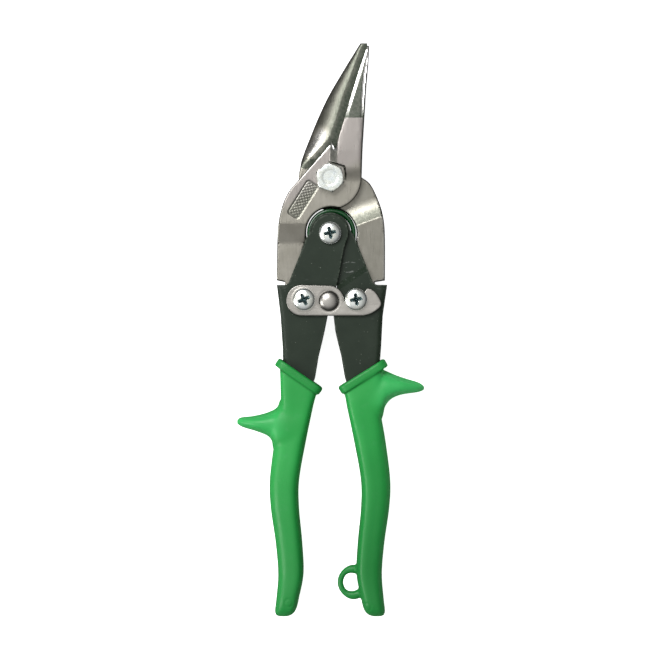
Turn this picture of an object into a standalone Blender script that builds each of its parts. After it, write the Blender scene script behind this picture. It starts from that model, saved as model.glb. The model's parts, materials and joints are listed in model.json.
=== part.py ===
"""Aviation snips: compound-leverage sheet-metal shears, closed and latched.

The tool lies on its back, with +X to the right, +Y towards the jaws and +Z up towards the
front face. The origin is on the main pivot's axis, in the plane that the tool rests on.
Each piece is modelled about the mid-plane, where the two blades meet, and is then
parented to an empty on the axis of the joint that carries it.
"""
import math

import bmesh
import bpy

MM = 0.001

# Heights, measured from the mid-plane unless they say otherwise
MID_PLANE_HEIGHT = 10.0 * MM        # above the surface that the tool rests on
GAP = 0.3 * MM                      # running gap between neighbouring pieces
BLADE_THICKNESS = 4.5 * MM
BLADE_OFFSET = 0.15 * MM            # from the mid-plane to each blade's inner face
JAW_RELIEF = 0.05 * MM              # how far the jaws are ground back from that face
CHANNEL_HALF_DEPTH = 7.3 * MM       # to the outer face of each handle's sheet metal
SHEET = 1.8 * MM                    # thickness of the handles' sheet metal
LATCH_LOW = CHANNEL_HALF_DEPTH + GAP
LATCH_THICKNESS = 1.5 * MM
GRIP_HALF_DEPTH = 9.95 * MM

# Joint axes, seen from the front
MAIN_PIVOT = (0.0, 0.0)
HUB = (0.0, -23.8 * MM)
HANDLE_PIVOT_X = 11.2 * MM
HANDLE_PIVOT_Y = -52.4 * MM
LEFT_PIVOT = (-HANDLE_PIVOT_X, HANDLE_PIVOT_Y)
RIGHT_PIVOT = (HANDLE_PIVOT_X, HANDLE_PIVOT_Y)

# Round features
DISC_RADIUS = 13.6 * MM             # each blade's round end, about the main pivot
MAIN_BOLT_RADIUS = 3.9 * MM
MAIN_HEX = 11.1 * MM                # across the flats of the main bolt and its nut
MAIN_HEX_TURN = 40.0                # degrees, direction of one corner of the head
HEAD_HEIGHT = 4.0 * MM
SCREW_RADIUS = 2.5 * MM
SCREW_HEAD_RADIUS = 4.7 * MM
SCREW_HEAD_HEIGHT = 2.6 * MM
SMALL_NUT_HEX = 9.0 * MM
CATCH_NECK_RADIUS = 1.6 * MM        # where the latch hooks round the catch screw
HUB_LOBE_RADIUS = 7.9 * MM
OPEN_PIVOT_RADIUS = 3.25 * MM       # the right handle's hub holes, which float on the screw
WASHER_RADIUS = 5.0 * MM
TAIL_HALF_THICKNESS = BLADE_THICKNESS / 2
CHANNEL_HALF_GAP = CHANNEL_HALF_DEPTH - SHEET
EAR_STEP = SHEET + GAP              # how far the right handle's ears are set in
SPRING_WIRE_RADIUS = 0.85 * MM
SPRING_COIL_RADIUS = 9.4 * MM
SPRING_TURNS = 2.5
ROUND_STEPS = 32


# ---------------------------------------------------------------- scene and outlines

def start_scene():
    """Remove every object, then make one collection for parts and one for cutters."""
    for old in list(bpy.data.objects):
        bpy.data.objects.remove(old, do_unlink=True)
    parts = bpy.data.collections.new("aviation_snips")
    cutters = bpy.data.collections.new("cutters")
    for collection in (parts, cutters):
        bpy.context.scene.collection.children.link(collection)
    return parts, cutters


PARTS, CUTTERS = start_scene()


def mm(points):
    """Turn a list of points in millimetres into metres."""
    return [tuple(value * MM for value in point) for point in points]


def mirrored(points):
    """The same outline seen in the YZ plane's mirror, still running the same way round."""
    return [(-x, y) for x, y in reversed(points)]


def arc(centre, radius, start, end, steps):
    """Points along an arc from one angle to another, in degrees."""
    angles = [math.radians(start + (end - start) * i / steps) for i in range(steps + 1)]
    return [(centre[0] + radius * math.cos(a), centre[1] + radius * math.sin(a)) for a in angles]


def circle(centre, radius, steps=ROUND_STEPS):
    """A closed round outline."""
    return arc(centre, radius, 0, 360, steps)[:-1]


def smooth(points, steps):
    """Points on a Catmull-Rom curve through the given points, of any dimension."""
    ends = [points[0], *points, points[-1]]
    curve = []
    for a, b, c, d in zip(ends, ends[1:], ends[2:], ends[3:]):
        for i in range(steps):
            t = i / steps
            weights = (-t + 2 * t**2 - t**3, 2 - 5 * t**2 + 3 * t**3,
                       t + 4 * t**2 - 3 * t**3, -t**2 + t**3)
            curve.append(tuple(sum(w * p[k] for w, p in zip(weights, (a, b, c, d))) / 2
                               for k in range(len(b))))
    return curve + [tuple(points[-1])]


# ---------------------------------------------------------------- solids

def add_object(name, mesh):
    """Link a mesh as an object at the height of the mid-plane."""
    body = bpy.data.objects.new(name, mesh)
    body.location.z = MID_PLANE_HEIGHT
    PARTS.objects.link(body)
    return body


def from_bmesh(name, work):
    """Turn a closed bmesh into an object whose faces point outwards."""
    bmesh.ops.recalc_face_normals(work, faces=work.faces)
    mesh = bpy.data.meshes.new(name)
    work.to_mesh(mesh)
    work.free()
    return add_object(name, mesh)


def from_curve(name, curve):
    """Turn a curve with fill or bevel into a welded mesh object."""
    source = bpy.data.objects.new(name, curve)
    bpy.context.scene.collection.objects.link(source)
    graph = bpy.context.evaluated_depsgraph_get()
    mesh = bpy.data.meshes.new_from_object(source.evaluated_get(graph))
    bpy.data.objects.remove(source, do_unlink=True)
    work = bmesh.new()
    work.from_mesh(mesh)
    bmesh.ops.remove_doubles(work, verts=work.verts, dist=0.001 * MM)
    return from_bmesh(name, work)


def plate(name, outline, low, high, holes=()):
    """A flat plate between two heights, with an outline and any number of holes."""
    curve = bpy.data.curves.new(name, "CURVE")
    curve.dimensions = "2D"
    curve.fill_mode = "BOTH"
    curve.extrude = (high - low) / 2
    for ring in (outline, *holes):
        spline = curve.splines.new("POLY")
        spline.points.add(len(ring) - 1)
        for point, (x, y) in zip(spline.points, ring):
            point.co = (x, y, 0, 1)
        spline.use_cyclic_u = True
    body = from_curve(name, curve)
    for vertex in body.data.vertices:
        vertex.co.z += (low + high) / 2
    return body


def wire(name, points, radius, closed=False):
    """Round wire or rod along a list of points."""
    curve = bpy.data.curves.new(name, "CURVE")
    curve.dimensions = "3D"
    curve.bevel_depth = radius
    curve.bevel_resolution = 2
    curve.use_fill_caps = not closed
    spline = curve.splines.new("POLY")
    spline.points.add(len(points) - 1)
    for point, place in zip(spline.points, points):
        point.co = (*place, 1)
    spline.use_cyclic_u = closed
    return from_curve(name, curve)


def prism(name, centre, across_flats, low, high, turn=0.0):
    """A hexagonal bar."""
    work = bmesh.new()
    radius = across_flats / 2 / math.cos(math.radians(30))
    bmesh.ops.create_cone(work, cap_ends=True, segments=6, radius1=radius, radius2=radius,
                          depth=high - low)
    angle = math.radians(turn)
    for vertex in work.verts:
        x, y, z = vertex.co
        vertex.co.x = centre[0] + x * math.cos(angle) - y * math.sin(angle)
        vertex.co.y = centre[1] + x * math.sin(angle) + y * math.cos(angle)
        vertex.co.z = z + (low + high) / 2
    return from_bmesh(name, work)


def turned(name, centre, profile, closed=False, steps=ROUND_STEPS):
    """A turned shape: (radius, height) points, listed from the top down the outer side."""
    mesh = bpy.data.meshes.new(name)
    links = [(i, i + 1) for i in range(len(profile) - 1)]
    if closed:
        links.append((len(profile) - 1, 0))
    mesh.from_pydata([(radius, 0, height) for radius, height in profile], links, [])
    body = add_object(name, mesh)
    body.location.x, body.location.y = centre
    screw = body.modifiers.new("turn", "SCREW")
    screw.steps = steps
    screw.render_steps = steps
    screw.use_merge_vertices = True
    screw.merge_threshold = 0.001 * MM
    return body


def ring_profile(inner, outer, low, high, chamfer=0.2 * MM):
    """The closed profile of a washer or bush, listed for turned()."""
    return [(inner, high), (outer - chamfer, high), (outer, high - chamfer),
            (outer, low + chamfer), (outer - chamfer, low), (inner, low)]


def loft(name, sections):
    """A closed solid through rings that all have the same number of points."""
    work = bmesh.new()
    rings = [[work.verts.new(point) for point in section] for section in sections]
    for lower, upper in zip(rings, rings[1:]):
        for i, corner in enumerate(lower):
            j = (i + 1) % len(lower)
            work.faces.new((corner, lower[j], upper[j], upper[i]))
    work.faces.new(rings[0])
    work.faces.new(rings[-1])
    return from_bmesh(name, work)


def combine(body, other, operation):
    """Cut, join or intersect with another object, which becomes a hidden cutter."""
    step = body.modifiers.new(f"{operation.lower()} {other.name}", "BOOLEAN")
    step.operation = operation
    step.object = other
    PARTS.objects.unlink(other)
    CUTTERS.objects.link(other)
    other.hide_render = True
    other.display_type = "WIRE"


def drill(body, centre, radius):
    """Cut a round hole right through a piece, from front to back."""
    reach = 2 * MID_PLANE_HEIGHT
    profile = [(0, reach), (radius, reach), (radius, -reach), (0, -reach)]
    combine(body, turned(f"{body.name}_bore", centre, profile), "DIFFERENCE")


def shift_ramp(body, direction, start, end, rise):
    """Bend a plate in a straight joggle: points past start rise, in full past end.

    direction is the unit vector, seen from the front, along which distance is measured.
    rise(z) gives the full rise of a point at height z.
    """
    work = bmesh.new()
    work.from_mesh(body.data)
    for distance in (start, end):
        place = (direction[0] * distance, direction[1] * distance, 0)
        everything = [*work.verts, *work.edges, *work.faces]
        bmesh.ops.bisect_plane(work, geom=everything, plane_co=place,
                               plane_no=(*direction, 0), dist=0.0001 * MM)
    for vertex in work.verts:
        along = vertex.co.x * direction[0] + vertex.co.y * direction[1]
        share = min(max((along - start) / (end - start), 0), 1)
        vertex.co.z += share * rise(vertex.co.z)
    work.to_mesh(body.data)
    work.free()


# ---------------------------------------------------------------- materials and parents

MATERIALS = {}


def material(name, colour, metallic, roughness):
    """Make one Principled material."""
    finish = bpy.data.materials.new(name)
    finish.use_nodes = True
    shader = finish.node_tree.nodes["Principled BSDF"]
    shader.inputs["Base Color"].default_value = (*colour, 1)
    shader.inputs["Metallic"].default_value = metallic
    shader.inputs["Roughness"].default_value = roughness
    MATERIALS[name] = finish


def make_axis(name, place, parent=None):
    """An empty on a joint's axis, in the mid-plane."""
    axis = bpy.data.objects.new(name, None)
    axis.location = (place[0], place[1], MID_PLANE_HEIGHT)
    if parent:
        axis.parent = parent
        axis.location -= parent.matrix_world.translation
    PARTS.objects.link(axis)
    bpy.context.view_layer.update()
    return axis


def fit(body, axis, finish):
    """Give a piece its material and parent it to its joint's empty, where it stands."""
    own = MATERIALS[finish].copy()
    own.name = f"{body.name}_{finish}"
    body.data.materials.append(own)
    body.data.shade_smooth()
    body.data.set_sharp_from_angle(angle=math.radians(35))
    body.parent = axis
    body.location -= axis.matrix_world.translation


# ---------------------------------------------------------------- blades

SHOULDER_OUTER_Y = -44.1            # where each blade's wide tail ends, in millimetres
SHOULDER_INNER_Y = -44.8


def tail_end(sign):
    """The foot of the left or right tail, round its handle pivot, from its inner side."""
    foot = arc(LEFT_PIVOT, 6.4 * MM, 50, -180, 14)
    foot += mm([(-19.4, -48.0), (-19.4, SHOULDER_INNER_Y)])
    return foot if sign < 0 else [(-x, y) for x, y in foot]


def front_blade():
    """The blade on top: its tail is on the left and its jaw on the right."""
    disc = arc(MAIN_PIVOT, DISC_RADIUS, 0, -73.6, 14)
    arch = arc((0.6 * MM, -23.4 * MM), 10.85 * MM, 72.6, 195, 12)
    inner_edge = mm([(-11.8, -31), (-11.8, -42)])
    left_side = smooth(mm([(-23.0, SHOULDER_OUTER_Y), (-22.6, -23.3), (-20.8, -12.9),
                           (-17.8, -6.0), (-12.7, 0.0)]), 4)
    jaw_root = mm([(0.9, 15.6), (2.1, 12.4), (3.3, 15.6), (14.2, 18.0)])
    outline = disc + arch + inner_edge + tail_end(-1) + left_side + jaw_root
    blade = plate("front_blade", outline, BLADE_OFFSET, BLADE_OFFSET + BLADE_THICKNESS,
                  [circle(LEFT_PIVOT, SCREW_RADIUS + GAP)])
    drop = BLADE_OFFSET + BLADE_THICKNESS - TAIL_HALF_THICKNESS
    shift_ramp(blade, (0, -1), 19.8 * MM, 28.0 * MM, lambda z: -drop)
    # Stations up the jaw: x and y of the cutting edge, x and y of the outer edge, top
    stations = mm([(-1.6, 7.6, 13.7, 2.4, 6.2), (2.0, 12.2, 13.9, 10.0, 6.4),
                   (3.0, 14.8, 14.15, 15.0, 6.4), (6.6, 26.6, 14.85, 26.6, 6.2),
                   (9.9, 37.9, 15.5, 37.9, 5.1), (13.4, 48.9, 16.45, 48.9, 3.9),
                   (15.6, 55.4, 16.9, 55.4, 3.2), (16.3, 57.3, 16.9, 57.1, 2.6)])
    low = BLADE_OFFSET + JAW_RELIEF
    sections = []
    for cut_x, cut_y, edge_x, edge_y, top in stations:
        width = edge_x - cut_x
        bevel = min(1.2 * MM, width / 3)
        across = (0, bevel, width - bevel, width, width)
        heights = (low, top, top, top - bevel, low)
        sections.append([(cut_x + x, cut_y + (edge_y - cut_y) * x / width, z)
                         for x, z in zip(across, heights)])
    combine(blade, loft("front_jaw", sections), "UNION")
    drill(blade, MAIN_PIVOT, MAIN_BOLT_RADIUS + GAP)
    return blade


def back_blade():
    """The blade beneath: its tail is on the right and its jaw on the left."""
    arch = arc((0.6 * MM, -23.8 * MM), 10.9 * MM, -12, 106.7, 12)
    disc = arc(MAIN_PIVOT, DISC_RADIUS, -100.7, -195, 16)
    jaw_root = mm([(-12.9, 5.0), (5.1, 8.7), (6.6, 8.7), (13.9, 0.3)])
    right_side = smooth(mm([(13.9, 0.3), (17.5, -2.6), (20.9, -9.5), (22.9, -16.4),
                            (23.7, -25.0), (23.7, SHOULDER_OUTER_Y)]), 4)
    tail = tail_end(1)[::-1]
    inner_edge = mm([(11.8, -42), (11.8, -31)])
    outline = arch + disc + jaw_root[:-1] + right_side + tail + inner_edge
    blade = plate("back_blade", outline, -BLADE_OFFSET - BLADE_THICKNESS, -BLADE_OFFSET,
                  [circle(RIGHT_PIVOT, SCREW_RADIUS + GAP)])
    lift = BLADE_OFFSET + BLADE_THICKNESS - TAIL_HALF_THICKNESS
    slant = math.radians(-69.7)
    shift_ramp(blade, (math.cos(slant), math.sin(slant)), 14.1 * MM, 23.6 * MM, lambda z: lift)
    # Stations up the jaw: y, then x of the outer edge, of the ridge and of the cutting edge, depth
    stations = mm([(4.0, -13.0, -12.6, 5.0, 4.4), (7.2, -12.5, -10.0, 5.4, 4.4),
                   (8.2, -12.2, -9.1, 5.6, 6.4), (11.2, -11.2, -6.3, 6.0, 6.4),
                   (14.6, -9.9, -2.9, 6.6, 6.4), (18.1, -8.5, 0.0, 7.4, 6.4),
                   (25.0, -5.7, 2.4, 9.3, 6.4), (35.3, -0.9, 5.4, 11.9, 6.0),
                   (45.6, 5.1, 9.3, 14.3, 5.0), (55.6, 11.3, 12.9, 16.3, 3.6),
                   (58.5, 13.1, 14.3, 16.1, 2.4)])
    high = BLADE_OFFSET + JAW_RELIEF
    sections = []
    for y, edge, ridge, cut, depth in stations:
        width = cut - edge
        fall = min(3.4 * MM, (ridge - edge) * 0.42)
        across = (cut, ridge, (edge + ridge) / 2, edge, edge + 0.15 * width, cut - 0.15 * width)
        below = (high, high, high + 0.25 * fall, high + fall, depth, depth)
        sections.append([(x, y, -z) for x, z in zip(across, below)])
    combine(blade, loft("back_jaw", sections), "UNION")
    drill(blade, MAIN_PIVOT, MAIN_BOLT_RADIUS + GAP)
    return blade


# ---------------------------------------------------------------- fasteners

def chamfered_hex(name, centre, across_flats, low, high, turn=0.0):
    """A hexagon whose corners are turned off at both ends."""
    body = prism(name, centre, across_flats, low, high, turn)
    flat = across_flats / 2 * 0.97
    corner = across_flats / 2 / math.cos(math.radians(30)) + 0.1 * MM
    slope = (corner - flat) * 0.58
    profile = [(0, high + GAP), (flat - 2 * GAP, high + GAP), (corner, high - slope),
               (corner, low + slope), (flat - 2 * GAP, low - GAP), (0, low - GAP)]
    combine(body, turned(f"{name}_chamfer", centre, profile), "INTERSECT")
    return body


def main_pivot_bolt():
    """Hex bolt through both blades; its end is flush with the nut, on the rest plane."""
    seat = BLADE_OFFSET + BLADE_THICKNESS + GAP
    bolt = chamfered_hex("main_pivot_bolt", MAIN_PIVOT, MAIN_HEX, seat, seat + HEAD_HEIGHT,
                         MAIN_HEX_TURN)
    shank = [(0, seat + HEAD_HEIGHT / 2), (MAIN_BOLT_RADIUS, seat + HEAD_HEIGHT / 2),
             (MAIN_BOLT_RADIUS, -MID_PLANE_HEIGHT), (0, -MID_PLANE_HEIGHT)]
    combine(bolt, turned("main_pivot_shank", MAIN_PIVOT, shank), "UNION")
    return bolt


def nut(name, centre, across_flats, low, high, bore, turn=0.0):
    """A hex nut with a plain hole."""
    body = chamfered_hex(name, centre, across_flats, low, high, turn)
    drill(body, centre, bore)
    return body


def pan_screw(name, centre, seat, foot, neck=None):
    """Cross-recess pan-head screw; neck is the radius of a waist just under the head."""
    top = seat + SCREW_HEAD_HEIGHT
    radius = SCREW_HEAD_RADIUS
    dome = [(radius * math.sin(a), top - 1.25 * MM * (1 - math.cos(a)))
            for a in (math.radians(15 * i) for i in range(6))]
    profile = dome + [(radius, top - 1.3 * MM), (radius, seat)]
    if neck:
        profile += [(neck, seat), (neck, CHANNEL_HALF_DEPTH), (SCREW_RADIUS, CHANNEL_HALF_DEPTH)]
    else:
        profile.append((SCREW_RADIUS, seat))
    profile += [(SCREW_RADIUS, foot), (0, foot)]
    screw = turned(name, centre, profile, steps=24)
    arm, half = 2.3 * MM, 0.65 * MM
    corner = [(arm, -0.8 * half), (arm, 0.8 * half), (half, half)]
    cross = []
    for turn in range(4):
        for x, y in corner:
            for _ in range(turn):
                x, y = -y, x
            cross.append((centre[0] + x, centre[1] + y))
    combine(screw, plate(f"{name}_recess", cross, top - 1.5 * MM, top + MM), "DIFFERENCE")
    return screw


def washer(name, centre, low, high, inner, outer):
    """A plain washer or bush."""
    return turned(name, centre, ring_profile(inner, outer, low, high), closed=True, steps=24)


# ---------------------------------------------------------------- handles

LEFT_EDGE = mm([(-17.9, -45.5), (-19.3, -46.1), (-22.9, -46.1), (-21.3, -59.4),
                (-20.4, -73.0), (-20.2, -82.0), (-19.6, -90.0), (-19.3, -100.0)])
RIGHT_EDGE = mm([(-18.6, -45.5), (-20.3, -46.1), (-24.6, -46.1), (-22.7, -59.4),
                 (-22.0, -73.0), (-21.3, -82.0), (-20.2, -90.0), (-19.3, -100.0)])
TANG_OUTER = mm([(-21.2, -112.0), (-23.2, -126.0), (-23.9, -137.0), (-22.0, -150.0)])
TANG_INNER = mm([(-14.0, -150.0), (-15.9, -137.0), (-15.2, -126.0), (-13.2, -112.0),
                 (-11.2, -100.0), (-8.4, -92.0)])
INNER_EDGE = mm([(-6.4, -86.0), (-4.9, -77.0), (-3.2, -70.0), (-2.3, -66.0)])
WEB_TOP = -46.8 * MM


def flange_outline(edge, upper):
    """A handle's side plate as it would be on the left: outer edge, tang, inner edge, ear."""
    return edge + TANG_OUTER + TANG_INNER + INNER_EDGE + upper


def web_outline(edge):
    """The strip that joins a handle's two side plates along its outer edge."""
    outer = [point for point in edge + TANG_OUTER if point[1] < WEB_TOP]
    first = (edge[2][0] + 0.05 * MM, WEB_TOP)
    outer = [first, *outer]
    return outer + [(x + SHEET, y) for x, y in reversed(outer)]


def channel(name, outline, web, holes, joggle=None):
    """A folded sheet-metal handle: two side plates joined by a web along the outer edge."""
    front = plate(name, outline, CHANNEL_HALF_GAP, CHANNEL_HALF_DEPTH, holes)
    rear = plate(f"{name}_rear", outline, -CHANNEL_HALF_DEPTH, -CHANNEL_HALF_GAP, holes)
    if joggle:
        joggle(front)
        joggle(rear)
    inside = CHANNEL_HALF_DEPTH - 0.5 * SHEET
    combine(front, plate(f"{name}_web", web, -inside, inside), "UNION")
    combine(front, rear, "UNION")
    return front


def left_channel():
    """The handle on the front blade's tail; its ears are outermost at the hub."""
    ear = mm([(-0.9, -59.0), (3.75, -43.0), (4.7, -37.4), (6.1, -30.0)])
    ear += arc(HUB, HUB_LOBE_RADIUS, -10, 172, 16) + mm([(-10.1, -25.9)])
    holes = [circle(HUB, SCREW_RADIUS + GAP), circle(LEFT_PIVOT, SCREW_RADIUS + GAP)]
    return channel("left_handle_channel", flange_outline(LEFT_EDGE, ear),
                   web_outline(LEFT_EDGE), holes)


def right_channel():
    """The handle on the back blade's tail; its ears are set in, inside the left ones."""
    ear = mm([(-1.5, -59.0), (-3.5, -46.2), (-2.6, -45.0), (4.2, -40.2), (6.1, -30.0)])
    ear += arc(HUB, HUB_LOBE_RADIUS, -10, 172, 16) + mm([(-10.5, -25.2)])
    outline = mirrored(flange_outline(RIGHT_EDGE, ear))
    holes = [circle(HUB, OPEN_PIVOT_RADIUS), circle(RIGHT_PIVOT, SCREW_RADIUS + GAP)]

    slant = math.radians(123.7)

    def set_ears_in(side):
        shift_ramp(side, (math.cos(slant), math.sin(slant)), -42.3 * MM, -39.8 * MM,
                   lambda z: math.copysign(EAR_STEP, -z))

    return channel("right_handle_channel", outline, mirrored(web_outline(RIGHT_EDGE)), holes,
                   set_ears_in)


def handle_spring():
    """Torsion spring round the hub, with a leg against the web inside each handle."""
    centre = (HUB[0] + 0.5 * MM, HUB[1] + 0.1 * MM)
    half_height = 2.4 * MM
    left_leg = mm([(-9.2, -28.5, 2.9), (-9.9, -32.0, 3.95), (-13.6, -40.0, 3.95),
                   (-19.2, -51.5, 3.95)])
    right_leg = mm([(21.0, -52.5, -3.95), (10.7, -44.0, -3.95), (9.9, -42.0, -2.45),
                    (10.1, -28.5, -2.45)])
    steps = int(SPRING_TURNS * 14)
    coil = []
    for i in range(steps + 1):
        angle = math.tau * SPRING_TURNS * i / steps
        coil.append((centre[0] + SPRING_COIL_RADIUS * math.cos(angle),
                     centre[1] + SPRING_COIL_RADIUS * math.sin(angle),
                     half_height * (2 * i / steps - 1)))
    return wire("handle_spring", right_leg + coil + left_leg, SPRING_WIRE_RADIUS)


# ---------------------------------------------------------------- latch

def latch():
    """Plate that turns on the left pivot screw and hooks round the catch screw."""
    def local(points):
        return [(LEFT_PIVOT[0] + x, LEFT_PIVOT[1] + y) for x, y in mm(points)]

    def about(x, y):
        return local([(x, y)])[0]

    dome = about(10.7, -0.6)
    catch = about(22.4, 0.0)
    slot = CATCH_NECK_RADIUS + GAP
    outline = arc(about(-0.95, -0.35), 6.65 * MM, 90, 270, 14)
    outline += smooth(local([(25.5, -7.0), (29.0, -6.0), (32.4, -3.6), (33.2, -1.2),
                             (31.0, 2.8), (28.9, 4.5)]), 3)
    outline += local([(27.7, 4.7), (26.6, 4.3), (25.4, 2.0)])
    outline += arc(catch, slot, 0, -180, 10)
    outline += local([(20.2, 0.6), (18.6, 0.4), (17.3, -0.6)])
    outline += arc(dome, 6.6 * MM, 8, 85, 8)
    hole = circle(LEFT_PIVOT, SCREW_RADIUS + GAP)
    body = plate("latch", outline, LATCH_LOW, LATCH_LOW + LATCH_THICKNESS, [hole])
    top = LATCH_LOW + LATCH_THICKNESS
    radius = 4.5 * MM
    button = [(radius * math.sin(a), top + 1.9 * MM * math.cos(a))
              for a in (math.radians(15 * i) for i in range(7))]
    button += [(radius, top - 0.5 * MM), (0, top - 0.5 * MM)]
    combine(body, turned("latch_button", dome, button, steps=24), "UNION")
    return body


# ---------------------------------------------------------------- grips

GRIP_POWER = 3.4                    # squareness of the grip's section
MOUTH_POWER = 6.0                   # squareness at its mouth, which fits the folded handle
# Stations down the grips, in millimetres: outer x and y, inner x and y, half depth
LEFT_MOUTH = mm([(-21.7, -80.0, -5.3, -91.3, 9.4), (-21.4, -89.0, -6.4, -95.0, 9.6)])
RIGHT_MOUTH = mm([(-22.9, -80.2, -5.7, -91.0, 9.4), (-22.4, -89.0, -6.7, -95.0, 9.6)])
GRIP_BODY = mm([(-21.5, -98.0, -7.5, -99.5, 9.7), (-24.0, -113.5, -10.4, -113.5, 9.95),
                (-26.0, -130.0, -13.3, -130.0, 9.95), (-25.6, -142.0, -13.4, -142.0, 9.95),
                (-23.5, -157.0, -12.0, -157.0, 9.95), (-22.4, -170.5, -11.4, -170.5, 9.8),
                (-23.2, -183.0, -13.9, -182.0, 9.3), (-23.5, -186.3, -15.0, -185.5, 8.2),
                (-23.1, -188.0, -16.5, -187.6, 6.3), (-21.7, -189.1, -18.4, -188.9, 3.5)])
# Sections out along each thumb guard, in millimetres: top x and y, bottom x and y, half depth
LEFT_GUARD = mm([(-16.0, -94.5, -17.5, -120.0, 9.0), (-21.6, -95.8, -24.3, -117.2, 8.9),
                 (-22.9, -98.9, -25.1, -113.4, 8.6), (-27.1, -101.1, -27.1, -111.1, 8.1),
                 (-33.1, -102.6, -32.1, -109.1, 7.0), (-38.4, -103.2, -37.6, -107.5, 4.8),
                 (-40.1, -104.4, -40.1, -106.0, 2.0)])
RIGHT_GUARD = mm([(-16.0, -84.0, -17.5, -107.0, 9.0), (-22.8, -82.9, -22.9, -102.4, 9.0),
                  (-24.8, -83.4, -23.7, -98.7, 8.8), (-28.0, -84.8, -26.4, -95.3, 8.3),
                  (-32.0, -86.2, -31.0, -93.4, 7.4), (-38.2, -88.1, -38.2, -92.3, 5.0),
                  (-40.8, -89.8, -40.8, -91.3, 2.0)])


def oval(station, power, steps=24):
    """A squared oval between two points seen from the front, with a half depth."""
    ax, ay, bx, by, depth = station
    ring = []
    for i in range(steps):
        angle = math.tau * (i + 0.5) / steps
        across, up = math.cos(angle), math.sin(angle)
        across = math.copysign(abs(across) ** (2 / power), across)
        up = math.copysign(abs(up) ** (2 / power), up)
        ring.append(((ax + bx) / 2 + (bx - ax) / 2 * across,
                     (ay + by) / 2 + (by - ay) / 2 * across, depth * up))
    return ring


def collar_bead(name, mouth):
    """The rolled rim round the slanted mouth of a grip, as a closed loop of round rod."""
    radius = 1.85 * MM
    outer_x, outer_y, inner_x, inner_y, _ = mouth
    rim = (outer_x + 0.1 * MM, outer_y, inner_x - 0.1 * MM, inner_y, GRIP_HALF_DEPTH - radius)
    return wire(name, oval(rim, 2.6, 28), radius, closed=True)


def pocket_outline(edge):
    """The room for a handle's tang, a running gap wider than it, open at the mouth."""
    beyond = -76.0 * MM
    outer = [(x - GAP, y) for x, y in edge + TANG_OUTER if y < beyond]
    inner = [(x + GAP, y) for x, y in TANG_INNER + INNER_EDGE if y < beyond]
    foot = outer[-1][1] - MM
    return ([(outer[0][0], beyond), *outer, (outer[-1][0], foot), (inner[0][0], foot)]
            + inner + [(inner[-1][0], beyond)])


def squareness(station):
    """The power of the grip's section at a station: it falls away below the mouth."""
    outer_y = station[1]
    share = (outer_y - GRIP_BODY[1][1]) / (RIGHT_MOUTH[1][1] - GRIP_BODY[1][1])
    return GRIP_POWER + (MOUTH_POWER - GRIP_POWER) * min(max(share, 0), 1)


def lanyard_loop():
    """The ring beside the end of the right grip, a little taller than it is wide."""
    centre = (-9.9 * MM, -174.4 * MM)
    taller = 1.07
    ring = [(centre[0] + x, centre[1] + taller * y, 0) for x, y in circle((0, 0), 5.4 * MM, 24)]
    return wire("lanyard_loop", ring, 1.4 * MM, closed=True)


def grip(name, mouth, guard, edge):
    """A moulded grip with a collar, a thumb guard and a pocket for the handle's tang."""
    body = loft(name, [oval(s, squareness(s)) for s in smooth(mouth + GRIP_BODY, 2)])
    horn = loft(f"{name}_guard", [oval(station, 2.2, 16) for station in smooth(guard, 2)])
    combine(body, horn, "UNION")
    combine(body, collar_bead(f"{name}_bead", mouth[0]), "UNION")
    room = CHANNEL_HALF_DEPTH + GAP
    combine(body, plate(f"{name}_pocket", pocket_outline(edge), -room, room), "DIFFERENCE")
    return body


def right_grip():
    """The other grip, with a lanyard loop; it is made on the left and then reflected."""
    body = grip("right_grip", RIGHT_MOUTH, RIGHT_GUARD, RIGHT_EDGE)
    combine(body, lanyard_loop(), "UNION")
    for piece in (body, *[step.object for step in body.modifiers]):
        for vertex in piece.data.vertices:
            vertex.co.x = -vertex.co.x
        piece.data.flip_normals()
    return body


# ---------------------------------------------------------------- assembly

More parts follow.
